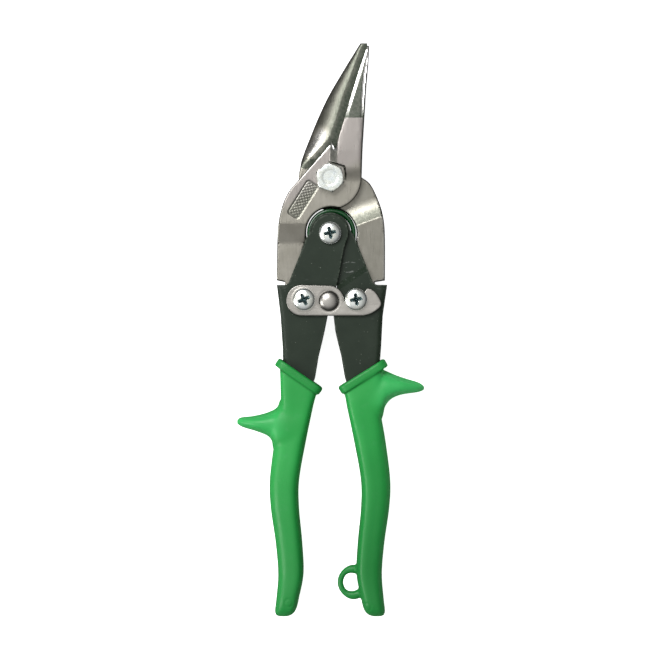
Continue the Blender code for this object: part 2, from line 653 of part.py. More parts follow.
def build():
    """Make every piece and hang it on the empty of the joint that carries it."""
    material("blade_steel", (0.42, 0.38, 0.36), 1.0, 0.32)
    material("zinc", (0.72, 0.74, 0.72), 1.0, 0.25)
    material("plain_steel", (0.45, 0.43, 0.41), 1.0, 0.35)
    material("handle_paint", (0.035, 0.05, 0.04), 0.0, 0.45)
    material("spring_enamel", (0.01, 0.06, 0.02), 0.0, 0.2)
    material("green_vinyl", (0.03, 0.36, 0.09), 0.0, 0.4)

    root = make_axis("main_pivot_axis", MAIN_PIVOT)
    front_axis = make_axis("front_blade_axis", MAIN_PIVOT, root)
    back_axis = make_axis("back_blade_axis", MAIN_PIVOT, root)
    left_axis = make_axis("left_handle_axis", LEFT_PIVOT, front_axis)
    right_axis = make_axis("right_handle_axis", RIGHT_PIVOT, back_axis)
    latch_axis = make_axis("latch_axis", LEFT_PIVOT, left_axis)

    main_nut_top = -BLADE_OFFSET - BLADE_THICKNESS - GAP
    fit(main_pivot_bolt(), root, "zinc")
    fit(nut("main_pivot_nut", MAIN_PIVOT, MAIN_HEX, -MID_PLANE_HEIGHT, main_nut_top,
            MAIN_BOLT_RADIUS + GAP), root, "zinc")

    fit(front_blade(), front_axis, "blade_steel")
    fit(back_blade(), back_axis, "blade_steel")

    nut_top = -CHANNEL_HALF_DEPTH - GAP
    nut_foot = nut_top - 2.1 * MM
    over_latch = LATCH_LOW + LATCH_THICKNESS + GAP
    fit(left_channel(), left_axis, "handle_paint")
    fit(grip("left_grip", LEFT_MOUTH, LEFT_GUARD, LEFT_EDGE), left_axis, "green_vinyl")
    fit(pan_screw("left_pivot_screw", LEFT_PIVOT, over_latch, nut_foot), left_axis, "zinc")
    fit(pan_screw("hub_screw", HUB, LATCH_LOW, nut_foot), left_axis, "zinc")
    fit(right_channel(), right_axis, "handle_paint")
    fit(right_grip(), right_axis, "green_vinyl")
    fit(pan_screw("catch_screw", RIGHT_PIVOT, over_latch, nut_foot, CATCH_NECK_RADIUS),
        right_axis, "zinc")
    fit(latch(), latch_axis, "plain_steel")
    fit(handle_spring(), left_axis, "spring_enamel")

    hole = SCREW_RADIUS + GAP
    for name, centre, axis in (("left_pivot_nut", LEFT_PIVOT, left_axis),
                               ("hub_nut", HUB, left_axis),
                               ("catch_nut", RIGHT_PIVOT, right_axis)):
        fit(nut(name, centre, SMALL_NUT_HEX, nut_foot, nut_top, hole), axis, "zinc")
    inside = CHANNEL_HALF_GAP - EAR_STEP - GAP
    fit(washer("hub_bush", HUB, -inside, inside, hole, WASHER_RADIUS), left_axis, "plain_steel")
    low = TAIL_HALF_THICKNESS + GAP
    high = CHANNEL_HALF_GAP - GAP
    for side, centre, axis in (("left", LEFT_PIVOT, left_axis), ("right", RIGHT_PIVOT, right_axis)):
        fit(washer(f"{side}_front_washer", centre, low, high, hole, WASHER_RADIUS), axis,
            "plain_steel")
        fit(washer(f"{side}_rear_washer", centre, -high, -low, hole, WASHER_RADIUS), axis,
            "plain_steel")


build()
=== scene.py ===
import json
import math

import bmesh
import bpy
import numpy as np
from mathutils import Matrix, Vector
from mathutils.geometry import delaunay_2d_cdt

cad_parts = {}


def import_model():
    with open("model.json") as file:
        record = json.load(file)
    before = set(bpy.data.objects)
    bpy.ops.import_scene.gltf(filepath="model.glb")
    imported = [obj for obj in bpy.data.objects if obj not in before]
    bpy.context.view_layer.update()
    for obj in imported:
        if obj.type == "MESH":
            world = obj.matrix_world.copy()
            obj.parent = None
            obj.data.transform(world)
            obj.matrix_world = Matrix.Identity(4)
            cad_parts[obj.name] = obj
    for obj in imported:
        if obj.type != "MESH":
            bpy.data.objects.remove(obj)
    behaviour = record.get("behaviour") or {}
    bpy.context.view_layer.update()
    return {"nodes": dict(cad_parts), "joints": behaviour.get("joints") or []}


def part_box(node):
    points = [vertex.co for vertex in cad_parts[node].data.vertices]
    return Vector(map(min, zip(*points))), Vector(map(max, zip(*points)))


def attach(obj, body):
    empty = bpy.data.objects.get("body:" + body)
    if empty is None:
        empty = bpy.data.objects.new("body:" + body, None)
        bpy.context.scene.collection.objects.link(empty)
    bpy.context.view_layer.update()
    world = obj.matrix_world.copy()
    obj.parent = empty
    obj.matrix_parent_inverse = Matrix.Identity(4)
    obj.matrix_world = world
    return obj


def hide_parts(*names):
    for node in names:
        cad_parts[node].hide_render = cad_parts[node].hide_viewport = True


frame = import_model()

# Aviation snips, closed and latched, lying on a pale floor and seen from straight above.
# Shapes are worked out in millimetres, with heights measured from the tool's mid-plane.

MM = 0.001
NODES = frame["nodes"]
JOINTS = {joint["name"]: joint for joint in frame["joints"]}


def joint_place(name):
    """Where a joint's axis stands, seen from the front."""
    x, y, _ = JOINTS[name]["pos_m"]
    return (x / MM, y / MM)


def node_centre(name):
    """The middle of a CAD node, seen from the front."""
    low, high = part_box(name)
    return ((low.x + high.x) / 2 / MM, (low.y + high.y) / 2 / MM)


MID = JOINTS["front_blade_open"]["pos_m"][2] / MM
MAIN = joint_place("front_blade_open")
LEFT_PIVOT = joint_place("left_handle_swing")
RIGHT_PIVOT = joint_place("right_handle_swing")
HUB = node_centre("hub_screw")


def node_top(name):
    """The highest point of a CAD node, above the mid-plane."""
    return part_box(name)[1].z / MM - MID


def node_foot(name):
    """The lowest point of a CAD node, above the mid-plane."""
    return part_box(name)[0].z / MM - MID


BLADE = 4.5                         # thickness of each blade
BLADE_OFFSET = 0.15                 # from the mid-plane to each blade's inner face
CHANNEL_HALF = 7.3                  # to the outer face of each handle's sheet metal
SHEET = 1.8                         # thickness of that sheet
GAP = 0.3                           # running gap between neighbouring pieces
TAIL_HALF = BLADE / 2
TAIL_STEP = BLADE_OFFSET + BLADE - TAIL_HALF    # how far a tail steps towards the mid-plane
PIVOT_BORE = 2.8                    # radius of the holes round the small screws
SHARP = math.radians(26)            # edges that bend by more than this are shaded sharp


# ---------------------------------------------------------------- outlines

def arc(centre, radius, start, end, steps):
    """Points along an arc from one angle to another, in degrees."""
    angles = np.radians(np.linspace(start, end, steps + 1))
    return [(centre[0] + radius * math.cos(a), centre[1] + radius * math.sin(a)) for a in angles]


def circle(centre, radius, steps=48):
    """A closed round outline."""
    return arc(centre, radius, 0, 360, steps)[:-1]


def smooth(points, steps):
    """Points on a Catmull-Rom curve through the given points, of any dimension."""
    ends = [points[0], *points, points[-1]]
    curve = []
    for a, b, c, d in zip(ends, ends[1:], ends[2:], ends[3:]):
        for i in range(steps):
            t = i / steps
            weights = (-t + 2 * t**2 - t**3, 2 - 5 * t**2 + 3 * t**3,
                       t + 4 * t**2 - 3 * t**3, -t**2 + t**3)
            curve.append(tuple(sum(w * p[k] for w, p in zip(weights, (a, b, c, d))) / 2
                               for k in range(len(b))))
    return curve + [tuple(points[-1])]


def mirrored(points):
    """The same outline seen in the YZ plane's mirror, still running the same way round."""
    return [(-x, y) for x, y in reversed(points)]


def refine(points, step, closed=True):
    """Split an outline's long edges so that none is longer than step."""
    ends = points[1:] + points[:1] if closed else points[1:]
    fine = []
    for (x0, y0), (x1, y1) in zip(points, ends):
        pieces = max(1, math.ceil(math.hypot(x1 - x0, y1 - y0) / step))
        fine += [(x0 + (x1 - x0) * i / pieces, y0 + (y1 - y0) * i / pieces)
                 for i in range(pieces)]
    return fine if closed else fine + [points[-1]]


def distance(points, line, closed=False):
    """How far each point is from a line of straight segments."""
    start = np.array(line, float)
    end = np.roll(start, -1, axis=0)
    if not closed:
        start, end = start[:-1], end[:-1]
    span = end - start
    length = np.maximum((span**2).sum(1), 1e-12)
    nearest = np.full(len(points), np.inf)
    for a, s, n in zip(start, span, length):
        share = np.clip(((points - a) @ s) / n, 0, 1)
        gap = points - a - share[:, None] * s
        nearest = np.minimum(nearest, (gap**2).sum(1))
    return np.sqrt(nearest)


def gap_to(x, y, line, closed=False):
    """How far each place is from a line of straight segments."""
    return distance(np.stack([x, y], 1), line, closed)


def inside(points, loop):
    """Which points lie inside a closed outline."""
    x, y = points[:, 0], points[:, 1]
    found = np.zeros(len(points), bool)
    for (x0, y0), (x1, y1) in zip(loop, loop[1:] + loop[:1]):
        if y0 == y1:
            continue
        crosses = (y0 > y) != (y1 > y)
        found ^= crosses & (x < (x1 - x0) * (y - y0) / (y1 - y0) + x0)
    return found


def ramp(value, start, end):
    """0 before start and 1 after end, with a straight slope between."""
    return np.clip((value - start) / (end - start), 0, 1)


def ease(value, start, end):
    """0 before start and 1 after end, with a soft slope between."""
    share = ramp(value, start, end)
    return share * share * (3 - 2 * share)


def fade(value, start, end):
    """1 before start and 0 after end, with a straight slope between."""
    return 1 - ramp(value, start, end)


def soft_fade(value, start, end):
    """1 before start and 0 after end, with a soft slope between."""
    return 1 - ease(value, start, end)


def rounding(gap, radius):
    """How far a rounded edge lies below its face, at each distance in from the edge."""
    inner = radius - np.minimum(gap, radius)
    return radius - np.sqrt(np.maximum(radius**2 - inner**2, 0))


def round_rings(radius, steps=4):
    """Distances in from an edge that share a rounded edge's turn out evenly."""
    return [radius * (1 - math.cos(math.radians(90 * i / steps))) for i in range(1, steps + 1)]


# ---------------------------------------------------------------- meshes

def linked(name, data):
    """A new object in the scene."""
    thing = bpy.data.objects.new(name, data)
    bpy.context.scene.collection.objects.link(thing)
    return thing


def evaluated_mesh(thing):
    """The mesh that an object's modifiers or curve settings make."""
    graph = bpy.context.evaluated_depsgraph_get()
    return bpy.data.meshes.new_from_object(thing.evaluated_get(graph))


def store_outward(work, mesh):
    """Point a bmesh's faces outwards and write it to a mesh."""
    bmesh.ops.recalc_face_normals(work, faces=work.faces)
    work.to_mesh(mesh)
    work.free()


def new_piece(name, vertices, faces):
    """An object from points in millimetres about the mid-plane."""
    points = np.array(vertices, float)
    points[:, 2] += MID
    mesh = bpy.data.meshes.new(name)
    mesh.from_pydata((points * MM).tolist(), [], faces)
    work = bmesh.new()
    work.from_mesh(mesh)
    store_outward(work, mesh)
    mesh.shade_smooth()
    mesh.set_sharp_from_angle(angle=SHARP)
    return linked(name, mesh)


TRIANGLE_ROW = 0.87                 # height of a row of even triangles, as a share of their side
CROWDED = 0.93                      # ring points nearer an edge than this share are left out
EDGE_MARGIN = 0.4                   # room between the rings and the grid, as a share of spacing


def relief(name, outline, top, bottom, holes=(), rings=(), spacing=1.4, creases=(), dense=()):
    """A closed piece over a flat outline, between two heights, on a fine triangle mesh.

    top and bottom give heights from arrays of x, y and the distance in from the nearest edge.
    creases are lines that the mesh follows, and dense holds extra points for fine detail.
    """
    loops = [refine(list(loop), spacing) for loop in (outline, *holes)]
    corners = np.vstack(loops)
    edges = []
    first = 0
    for loop in loops:
        edges += [(first + i, first + (i + 1) % len(loop)) for i in range(len(loop))]
        first += len(loop)

    def gap_to_edge(points):
        return np.min([distance(points, loop, closed=True) for loop in loops], axis=0)

    def on_material(points):
        solid = inside(points, loops[0])
        for loop in loops[1:]:
            solid &= ~inside(points, loop)
        return solid

    free = []
    for loop in loops:
        here = np.array(loop)
        along = np.roll(here, -1, axis=0) - np.roll(here, 1, axis=0)
        across = np.stack([-along[:, 1], along[:, 0]], 1) / np.linalg.norm(along, axis=1)[:, None]
        for ring in rings:
            for side in (1, -1):
                points = here + side * ring * across
                clear = on_material(points) & (gap_to_edge(points) > CROWDED * ring)
                free.append(points[clear])
    low, high = corners.min(0), corners.max(0)
    rows = np.arange(low[1], high[1], spacing * TRIANGLE_ROW)
    grid = np.array([(x + spacing / 2 * (k % 2), y) for k, y in enumerate(rows)
                     for x in np.arange(low[0], high[0], spacing)])
    margin = (max(rings) if rings else 0) + spacing * EDGE_MARGIN
    grid = grid[on_material(grid) & (gap_to_edge(grid) > margin)]
    if len(dense):
        extra = np.array(dense, float)
        extra = extra[on_material(extra) & (gap_to_edge(extra) > 0.05)]
        near = np.array([((extra - point) ** 2).sum(1).min() < spacing**2 for point in grid], bool)
        grid = grid[~near] if len(grid) else grid
        free.append(extra)
    free = np.vstack([*free, grid])
    lines = [refine(list(line), spacing, closed=False) for line in creases]
    for line in lines:
        free = free[distance(free, line) > 0.04]
    points = [Vector(point) for point in corners]
    for line in lines:
        start = len(points)
        points += [Vector(point) for point in line]
        edges += [(start + i, start + i + 1) for i in range(len(line) - 1)]
    points += [Vector(point) for point in free]
    places, _, triangles, _, _, _ = delaunay_2d_cdt(points, edges, [], 0, 1e-5)
    flat = np.array([tuple(place) for place in places])
    triangles = np.array(triangles)
    triangles = triangles[on_material(flat[triangles].mean(1))]
    used, triangles = np.unique(triangles, return_inverse=True)
    triangles = triangles.reshape(-1, 3)
    flat = flat[used]

    x, y, gap = flat[:, 0], flat[:, 1], gap_to_edge(flat)
    upper = np.stack([x, y, top(x, y, gap)], 1)
    lower = np.stack([x, y, bottom(x, y, gap)], 1)
    count = len(flat)
    faces = triangles.tolist() + (triangles[:, ::-1] + count).tolist()
    sides = np.vstack([triangles[:, [0, 1]], triangles[:, [1, 2]], triangles[:, [2, 0]]]).tolist()
    known = {tuple(side) for side in sides}
    faces += [(b, a, a + count, b + count) for a, b in known if (b, a) not in known]
    return new_piece(name, np.vstack([upper, lower]), faces)


def apply_modifiers(piece):
    """Give a piece its evaluated mesh."""
    mesh = evaluated_mesh(piece)
    piece.modifiers.clear()
    piece.data = mesh


def boolean(piece, other, operation):
    """Cut or join with another closed piece, which is then removed."""
    step = piece.modifiers.new(operation, "BOOLEAN")
    step.operation = operation
    step.solver = "MANIFOLD"
    step.object = other
    apply_modifiers(piece)
    bpy.data.objects.remove(other, do_unlink=True)
    piece.data.set_sharp_from_angle(angle=SHARP)


def flat_shading(piece):
    """Let large faces set the shading, so that rounded edges stay crisp."""
    step = piece.modifiers.new("even_faces", "WEIGHTED_NORMAL")
    step.keep_sharp = True


def point_places(piece):
    """Where a piece's points are, in metres."""
    places = np.empty(len(piece.data.vertices) * 3, np.float32)
    piece.data.vertices.foreach_get("co", places)
    return places.reshape(-1, 3)


def paint(piece, name, tone):
    """Store a value at each point, worked out from its place, for the materials to read."""
    x, y, z = (point_places(piece) / MM).T
    values = np.broadcast_to(tone(x, y, z - MID), len(x)).astype(np.float32)
    layer = piece.data.attributes.new(name, "FLOAT", "POINT")
    layer.data.foreach_set("value", values)


def dress(piece, body, slot, finish, *nodes):
    """Finish a piece: its material, the body that it rides on and the nodes that it replaces."""
    piece.data.materials.clear()
    piece.data.materials.append(finish)
    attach(piece, body)
    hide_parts(*nodes)


# ---------------------------------------------------------------- materials

class Finish:
    """A node-based material about one Principled shader."""

    def __init__(self, name, metallic, roughness):
        self.material = bpy.data.materials.new(name)
        self.material.use_nodes = True
        self.tree = self.material.node_tree
        self.shader = self.tree.nodes["Principled BSDF"]
        self.shader.inputs["Metallic"].default_value = metallic
        self.shader.inputs["Roughness"].default_value = roughness
        self.place = self.tree.nodes.new("ShaderNodeTexCoord").outputs["Object"]
        self.height = None

    def link(self, source, socket):
        self.tree.links.new(source, socket)

    def set(self, **values):
        for name, value in values.items():
            self.shader.inputs[name.replace("_", " ")].default_value = value

    def mapped(self, scale, turn=0.0):
        """The piece's own coordinates, stretched and turned about Z."""
        node = self.tree.nodes.new("ShaderNodeMapping")
        self.link(self.place, node.inputs["Vector"])
        node.inputs["Scale"].default_value = scale
        node.inputs["Rotation"].default_value = (0, 0, math.radians(turn))
        return node.outputs["Vector"]

    def noise(self, scale, detail=3.0, roughness=0.55, stretch=None, turn=0.0):
        """Noise with features of about 1/scale of a millimetre."""
        node = self.tree.nodes.new("ShaderNodeTexNoise")
        vector = self.mapped(stretch, turn) if stretch else self.place
        self.link(vector, node.inputs["Vector"])
        node.inputs["Scale"].default_value = scale / MM
        node.inputs["Detail"].default_value = detail
        node.inputs["Roughness"].default_value = roughness
        return node.outputs["Fac"]

    def value(self, name):
        """A value stored on the piece's points by paint()."""
        node = self.tree.nodes.new("ShaderNodeAttribute")
        node.attribute_name = name
        return node.outputs["Fac"]

    def spread(self, source, low, high, start=0.0, end=1.0):
        """Stretch the part of a value between low and high to run from start to end."""
        node = self.tree.nodes.new("ShaderNodeMapRange")
        self.link(source, node.inputs["Value"])
        for name, number in zip(("From Min", "From Max", "To Min", "To Max"),
                                (low, high, start, end)):
            node.inputs[name].default_value = number
        return node.outputs["Result"]

    def math(self, operation, a, b):
        node = self.tree.nodes.new("ShaderNodeMath")
        node.operation = operation
        for socket, value in zip(node.inputs, (a, b)):
            if isinstance(value, (int, float)):
                socket.default_value = value
            else:
                self.link(value, socket)
        return node.outputs["Value"]

    def mix(self, share, a, b):
        """A colour between two others, each a colour or a socket."""
        node = self.tree.nodes.new("ShaderNodeMix")
        node.data_type = "RGBA"
        self.link(share, node.inputs["Factor"])
        for socket, value in zip((node.inputs[6], node.inputs[7]), (a, b)):
            if isinstance(value, tuple):
                socket.default_value = (*value, 1)
            else:
                self.link(value, socket)
        return node.outputs[2]

    def colour(self, source):
        self.link(source, self.shader.inputs["Base Color"])

    def rough(self, source):
        self.link(source, self.shader.inputs["Roughness"])

    def bump(self, source, depth, strength):
        """Raise the surface by a source, with its full depth in millimetres."""
        node = self.tree.nodes.new("ShaderNodeBump")
        node.inputs["Strength"].default_value = strength
        node.inputs["Distance"].default_value = depth * MM
        self.link(source, node.inputs["Height"])
        if self.height:
            self.link(self.height, node.inputs["Normal"])
        self.height = node.outputs["Normal"]
        self.link(self.height, self.shader.inputs["Normal"])


def blade_steel():
    """Satin ground steel, brighter where it is polished and where a highlight is painted, dark
    where the scale is left and where shade is painted.
    """
    steel = Finish("blade_steel", 1.0, 0.3)
    cloud = steel.noise(0.12, 4)
    grind = steel.noise(2.2, 2, stretch=(1, 0.06, 1), turn=12)
    tone = steel.mix(steel.spread(cloud, 0.3, 0.7), (0.3, 0.286, 0.244), (0.37, 0.354, 0.308))
    tone = steel.mix(steel.value("bright"), tone, (0.37, 0.343, 0.322))
    # the scale value marks real forge scale, and also painted shade along rims, ledges, arches and
    # faces turned from the lamps
    scale = steel.noise(0.9, 5, 0.7)
    dark = steel.math("MULTIPLY", steel.value("scale"), steel.spread(scale, 0.35, 0.6, 0.85, 1.0))
    tone = steel.mix(dark, tone, (0.045, 0.056, 0.042))
    # polish_and_highlight makes the steel smoother and paints a highlight as lighter colour
    tone = steel.mix(steel.value("polish_and_highlight"), tone, (0.86, 0.85, 0.83))
    steel.colour(tone)
    worn = steel.spread(grind, 0.3, 0.7, 0.27, 0.4)
    steel.rough(steel.math("SUBTRACT", worn, steel.math("MULTIPLY", steel.value("polish_and_highlight"), 0.17)))
    steel.bump(grind, 0.012, 0.6)
    steel.bump(scale, 0.02, 0.25)
    return steel.material


def zinc():
    """Bright zinc plate with a faint bluish and yellowish cast, dark where the recess value is
    painted: painted shade in the screws' cross recesses, grime on the bolt's head.
    """
    plate = Finish("zinc", 1.0, 0.2)
    cast = plate.noise(0.35, 3)
    tone = plate.mix(plate.spread(cast, 0.35, 0.65), (0.86, 0.92, 0.92), (0.93, 0.95, 0.86))
    tone = plate.mix(plate.value("recess"), tone, (0.06, 0.1, 0.105))
    plate.colour(tone)
    plate.rough(plate.spread(plate.noise(1.3, 4), 0.3, 0.7, 0.2, 0.34))
    plate.bump(plate.noise(0.8, 4), 0.03, 0.35)
    return plate.material


def plain_steel():
    """Tumbled sheet steel with soft scratches."""
    steel = Finish("plain_steel", 1.0, 0.3)
    cloud = steel.noise(0.2, 4)
    tone = steel.mix(steel.spread(cloud, 0.3, 0.7), (0.42, 0.405, 0.37), (0.52, 0.5, 0.46))
    # on the latch, polish_and_highlight is a faint painted highlight on the dome, and scale is
    # painted shade round the dome and along the rim
    tone = steel.mix(steel.value("polish_and_highlight"), tone, (0.8, 0.78, 0.75))
    tone = steel.mix(steel.value("scale"), tone, (0.09, 0.09, 0.085))
    steel.colour(tone)
    scratch = steel.noise(1.6, 3, stretch=(0.1, 1, 1), turn=20)
    worn = steel.spread(scratch, 0.3, 0.7, 0.24, 0.36)
    steel.rough(steel.math("SUBTRACT", worn, steel.math("MULTIPLY", steel.value("polish_and_highlight"), 0.14)))
    steel.bump(scratch, 0.015, 0.5)
    return steel.material


def handle_paint():
    """Satin dark grey-green paint, rubbed a little at the edges, with a few pale specks and pale
    scuffs, which by the right handle's joggle are a painted highlight along its bend.
    """
    coat = Finish("handle_paint", 0.0, 0.42)
    cloud = coat.noise(0.08, 3)
    tone = coat.mix(coat.spread(cloud, 0.3, 0.7), (0.012, 0.021, 0.0125), (0.019, 0.03, 0.019))
    rub = coat.math("MULTIPLY", coat.value("edge"), coat.spread(coat.noise(0.7, 4), 0.45, 0.62))
    tone = coat.mix(rub, tone, (0.07, 0.085, 0.065))
    speck = coat.spread(coat.noise(0.9, 2), 0.73, 0.76)
    tone = coat.mix(speck, tone, (0.13, 0.15, 0.12))
    # pale scuffs, and by the right handle's joggle a painted highlight along its bend
    scuff_and_sheen = coat.spread(coat.noise(0.55, 4, 0.6, (0.5, 1.6, 1), 25), 0.6, 0.66)
    tone = coat.mix(coat.math("MULTIPLY", scuff_and_sheen, coat.value("scuff_and_sheen")), tone, (0.13, 0.14, 0.13))
    coat.colour(tone)
    coat.rough(coat.spread(coat.noise(0.5, 4), 0.3, 0.7, 0.36, 0.5))
    coat.bump(coat.noise(1.6, 3), 0.02, 0.3)
    coat.set(Specular_IOR_Level=0.24)
    return coat.material


def spring_enamel():
    """Gloss dark green enamel."""
    coat = Finish("spring_enamel", 0.0, 0.16)
    tone = coat.mix(coat.spread(coat.noise(0.3, 3), 0.3, 0.7), (0.0015, 0.042, 0.008),
                    (0.003, 0.07, 0.015))
    coat.colour(tone)
    coat.rough(coat.spread(coat.noise(0.8, 3), 0.3, 0.7, 0.12, 0.22))
    coat.bump(coat.noise(0.5, 3), 0.03, 0.3)
    coat.set(Coat_Weight=0.5, Coat_Roughness=0.08)
    return coat.material


def green_vinyl():
    """Satin moulded vinyl with a fine grain, a seam at the mid-plane and a greyish bloom, with
    painted light on the thumb guards and painted shade in creases, on the collar and towards the
    grips' ends.
    """
    skin = Finish("green_vinyl", 0.0, 0.4)
    cloud = skin.noise(0.035, 3)
    tone = skin.mix(skin.spread(cloud, 0.3, 0.7), (0.013, 0.29, 0.048), (0.019, 0.335, 0.06))
    bloom = skin.spread(skin.noise(0.25, 5, 0.65), 0.56, 0.72, 0.0, 0.12)
    tone = skin.mix(bloom, tone, (0.09, 0.36, 0.15))
    # pale: painted light where the thumb guards face the lamps
    tone = skin.mix(skin.value("pale"), tone, (0.05, 0.5, 0.13))
    # painted_shade: darker in the moulded ring, under and on the collar, towards the grips' ends
    # and over the right grip
    tone = skin.mix(skin.value("painted_shade"), tone, (0.006, 0.13, 0.022))
    skin.colour(tone)
    skin.rough(skin.spread(skin.noise(0.4, 4), 0.3, 0.7, 0.34, 0.48))
    skin.bump(skin.noise(2.4, 2), 0.02, 0.35)
    parts = skin.tree.nodes.new("ShaderNodeSeparateXYZ")
    skin.link(skin.place, parts.inputs["Vector"])
    seam = skin.math("ABSOLUTE", skin.math("SUBTRACT", parts.outputs["Z"], MID * MM), 0)
    skin.bump(skin.spread(seam, 0.12 * MM, 0.3 * MM, 1.0, 0.0), 0.12, 0.8)
    skin.set(Specular_IOR_Level=0.35)
    return skin.material


BLADE_STEEL = blade_steel()
ZINC = zinc()
PLAIN_STEEL = plain_steel()
HANDLE_PAINT = handle_paint()
SPRING_ENAMEL = spring_enamel()
GREEN_VINYL = green_vinyl()


# ---------------------------------------------------------------- blades

EDGE_ROUND = 0.6                    # radius of the blades' rounded edges
BLADE_RINGS = round_rings(EDGE_ROUND) + [1.1]
SHOULDER_OUTER_Y = -44.1
SHOULDER_INNER_Y = -44.8
DISC_RADIUS = 13.6                  # each blade's round end, about the main bolt
BORE = 4.2                          # radius of each blade's hole for the main bolt
FRONT_STEP = (19.6, 28.0)           # below the bolt, where the front tail's step starts and ends
FRONT_ARCH = ((0.6, -23.4), 10.85)  # centre and radius of each blade's arch round the hub
BACK_ARCH = ((0.6, -23.8), 10.9)
# Painted shade runs along this line on both blades.
ARCH_SHADE_LINE = ((0.6, -23.5), 10.85)   # the line along which both arches are dark

# The front jaw's two edges, from its root to its tip
FRONT_CUT = [(2.1, 12.4), (3.0, 14.8), (6.6, 26.6), (9.9, 37.9), (13.4, 48.9), (15.6, 55.4),
             (16.3, 57.3)]
FRONT_OUTER = [(16.9, 57.1), (16.9, 55.4), (16.45, 48.9), (15.5, 37.9), (14.85, 26.6),
               (14.15, 15.0), (13.9, 10.0), (13.7, 2.4)]
JAW_CREASE_Y = 25.8                 # where the front jaw's face starts to fall towards the tip
JAW_TOP_Y = (0, 12, JAW_CREASE_Y, 37.9, 48.9, 55.4, 57.3)
JAW_TOP = (6.2, 6.4, 6.25, 5.1, 3.9, 3.2, 2.6)      # height of that face at each of these
# The step beside the bolt's head, up from the disc to the jaw
LEDGE = [(-0.2, 6.9), (6.1, 4.8), (6.55, 1.7), (6.6, -1.8)]
CUT_DIP, CUT_DIP_WIDTH = 0.08, 2.6      # how the jaw's face falls away along its cutting edge
OUTER_DIP, OUTER_DIP_WIDTH = 0.3, 2.0   # and along its outer edge
STRIP_DEPTH = 0.1
STRIP = 0.9                         # greatest width of the polished strips along its edges

LEFT_SIDE = smooth([(-23.0, SHOULDER_OUTER_Y), (-22.6, -23.3), (-20.8, -12.9), (-17.8, -6.0),
                    (-12.7, 0.0)], 8)

# The badge panel on the front blade: centre, half length, half width and direction
PANEL = (-11.7, -9.3)
PANEL_HALF = (8.9, 3.2)
PANEL_TURN = math.radians(58)
PANEL_CORNER = 1.6
PANEL_DEPTH = 0.3
KNURL_HEIGHT, KNURL_PITCH = 0.1, 1.9    # pitch in radians a millimetre


def tail_end(sign):
    """The foot of the left or right tail, round its handle pivot, from its inner side."""
    foot = arc(LEFT_PIVOT, 6.4, 50, -180, 20)
    foot += [(-19.4, -48.0), (-19.4, SHOULDER_INNER_Y)]
    return foot if sign < 0 else [(-x, y) for x, y in foot]


def panel_place(x, y):
    """A point's place along and across the badge panel."""
    along = (x - PANEL[0]) * math.cos(PANEL_TURN) + (y - PANEL[1]) * math.sin(PANEL_TURN)
    across = -(x - PANEL[0]) * math.sin(PANEL_TURN) + (y - PANEL[1]) * math.cos(PANEL_TURN)
    return along, across


def panel_depth(x, y):
    """How far inside the panel's rounded outline a point lies; negative outside."""
    along, across = panel_place(x, y)
    reach = np.hypot(np.maximum(np.abs(along) - PANEL_HALF[0] + PANEL_CORNER, 0),
                     np.maximum(np.abs(across) - PANEL_HALF[1] + PANEL_CORNER, 0))
    return PANEL_CORNER - reach


def panel_grid():
    """Fine points over the badge panel."""
    step = 0.32
    return [(PANEL[0] + a * math.cos(PANEL_TURN) - b * math.sin(PANEL_TURN),
             PANEL[1] + a * math.sin(PANEL_TURN) + b * math.cos(PANEL_TURN))
            for a in np.arange(-9.6, 9.7, step) for b in np.arange(-3.9, 4.0, step)]


def arch_shade(x, y):
    """1 along the arch round the hub, where shade is painted, falling to 0 on the face."""
    (centre_x, centre_y), radius = ARCH_SHADE_LINE
    return fade(np.abs(np.hypot(x - centre_x, y - centre_y) - radius), 0.45, 0.8)


def front_outline():
    """The front blade: disc, arch, tail, left side, horn and jaw."""
    return (arc(MAIN, DISC_RADIUS, 0, -73.6, 30) + arc(*FRONT_ARCH, 72.6, 195, 30)
            + [(-11.8, -31), (-11.8, -42)] + tail_end(-1) + LEFT_SIDE + [(0.9, 15.6)]
            + FRONT_CUT + FRONT_OUTER)


def jaw_strips(to_cut, to_outer):
    """Where the polished strips run, from the distances to the front jaw's two edges."""
    width = to_cut + to_outer
    cut_strip = np.minimum(STRIP, 0.26 * width)
    start = np.minimum(0.6, 0.15 * width)
    outer_strip = start + np.minimum(STRIP, 0.25 * width)
    return np.maximum(fade(to_cut - cut_strip, 0, 0.2),
                      ramp(to_outer - start, 0, 0.15) * fade(to_outer - outer_strip, 0, 0.15))


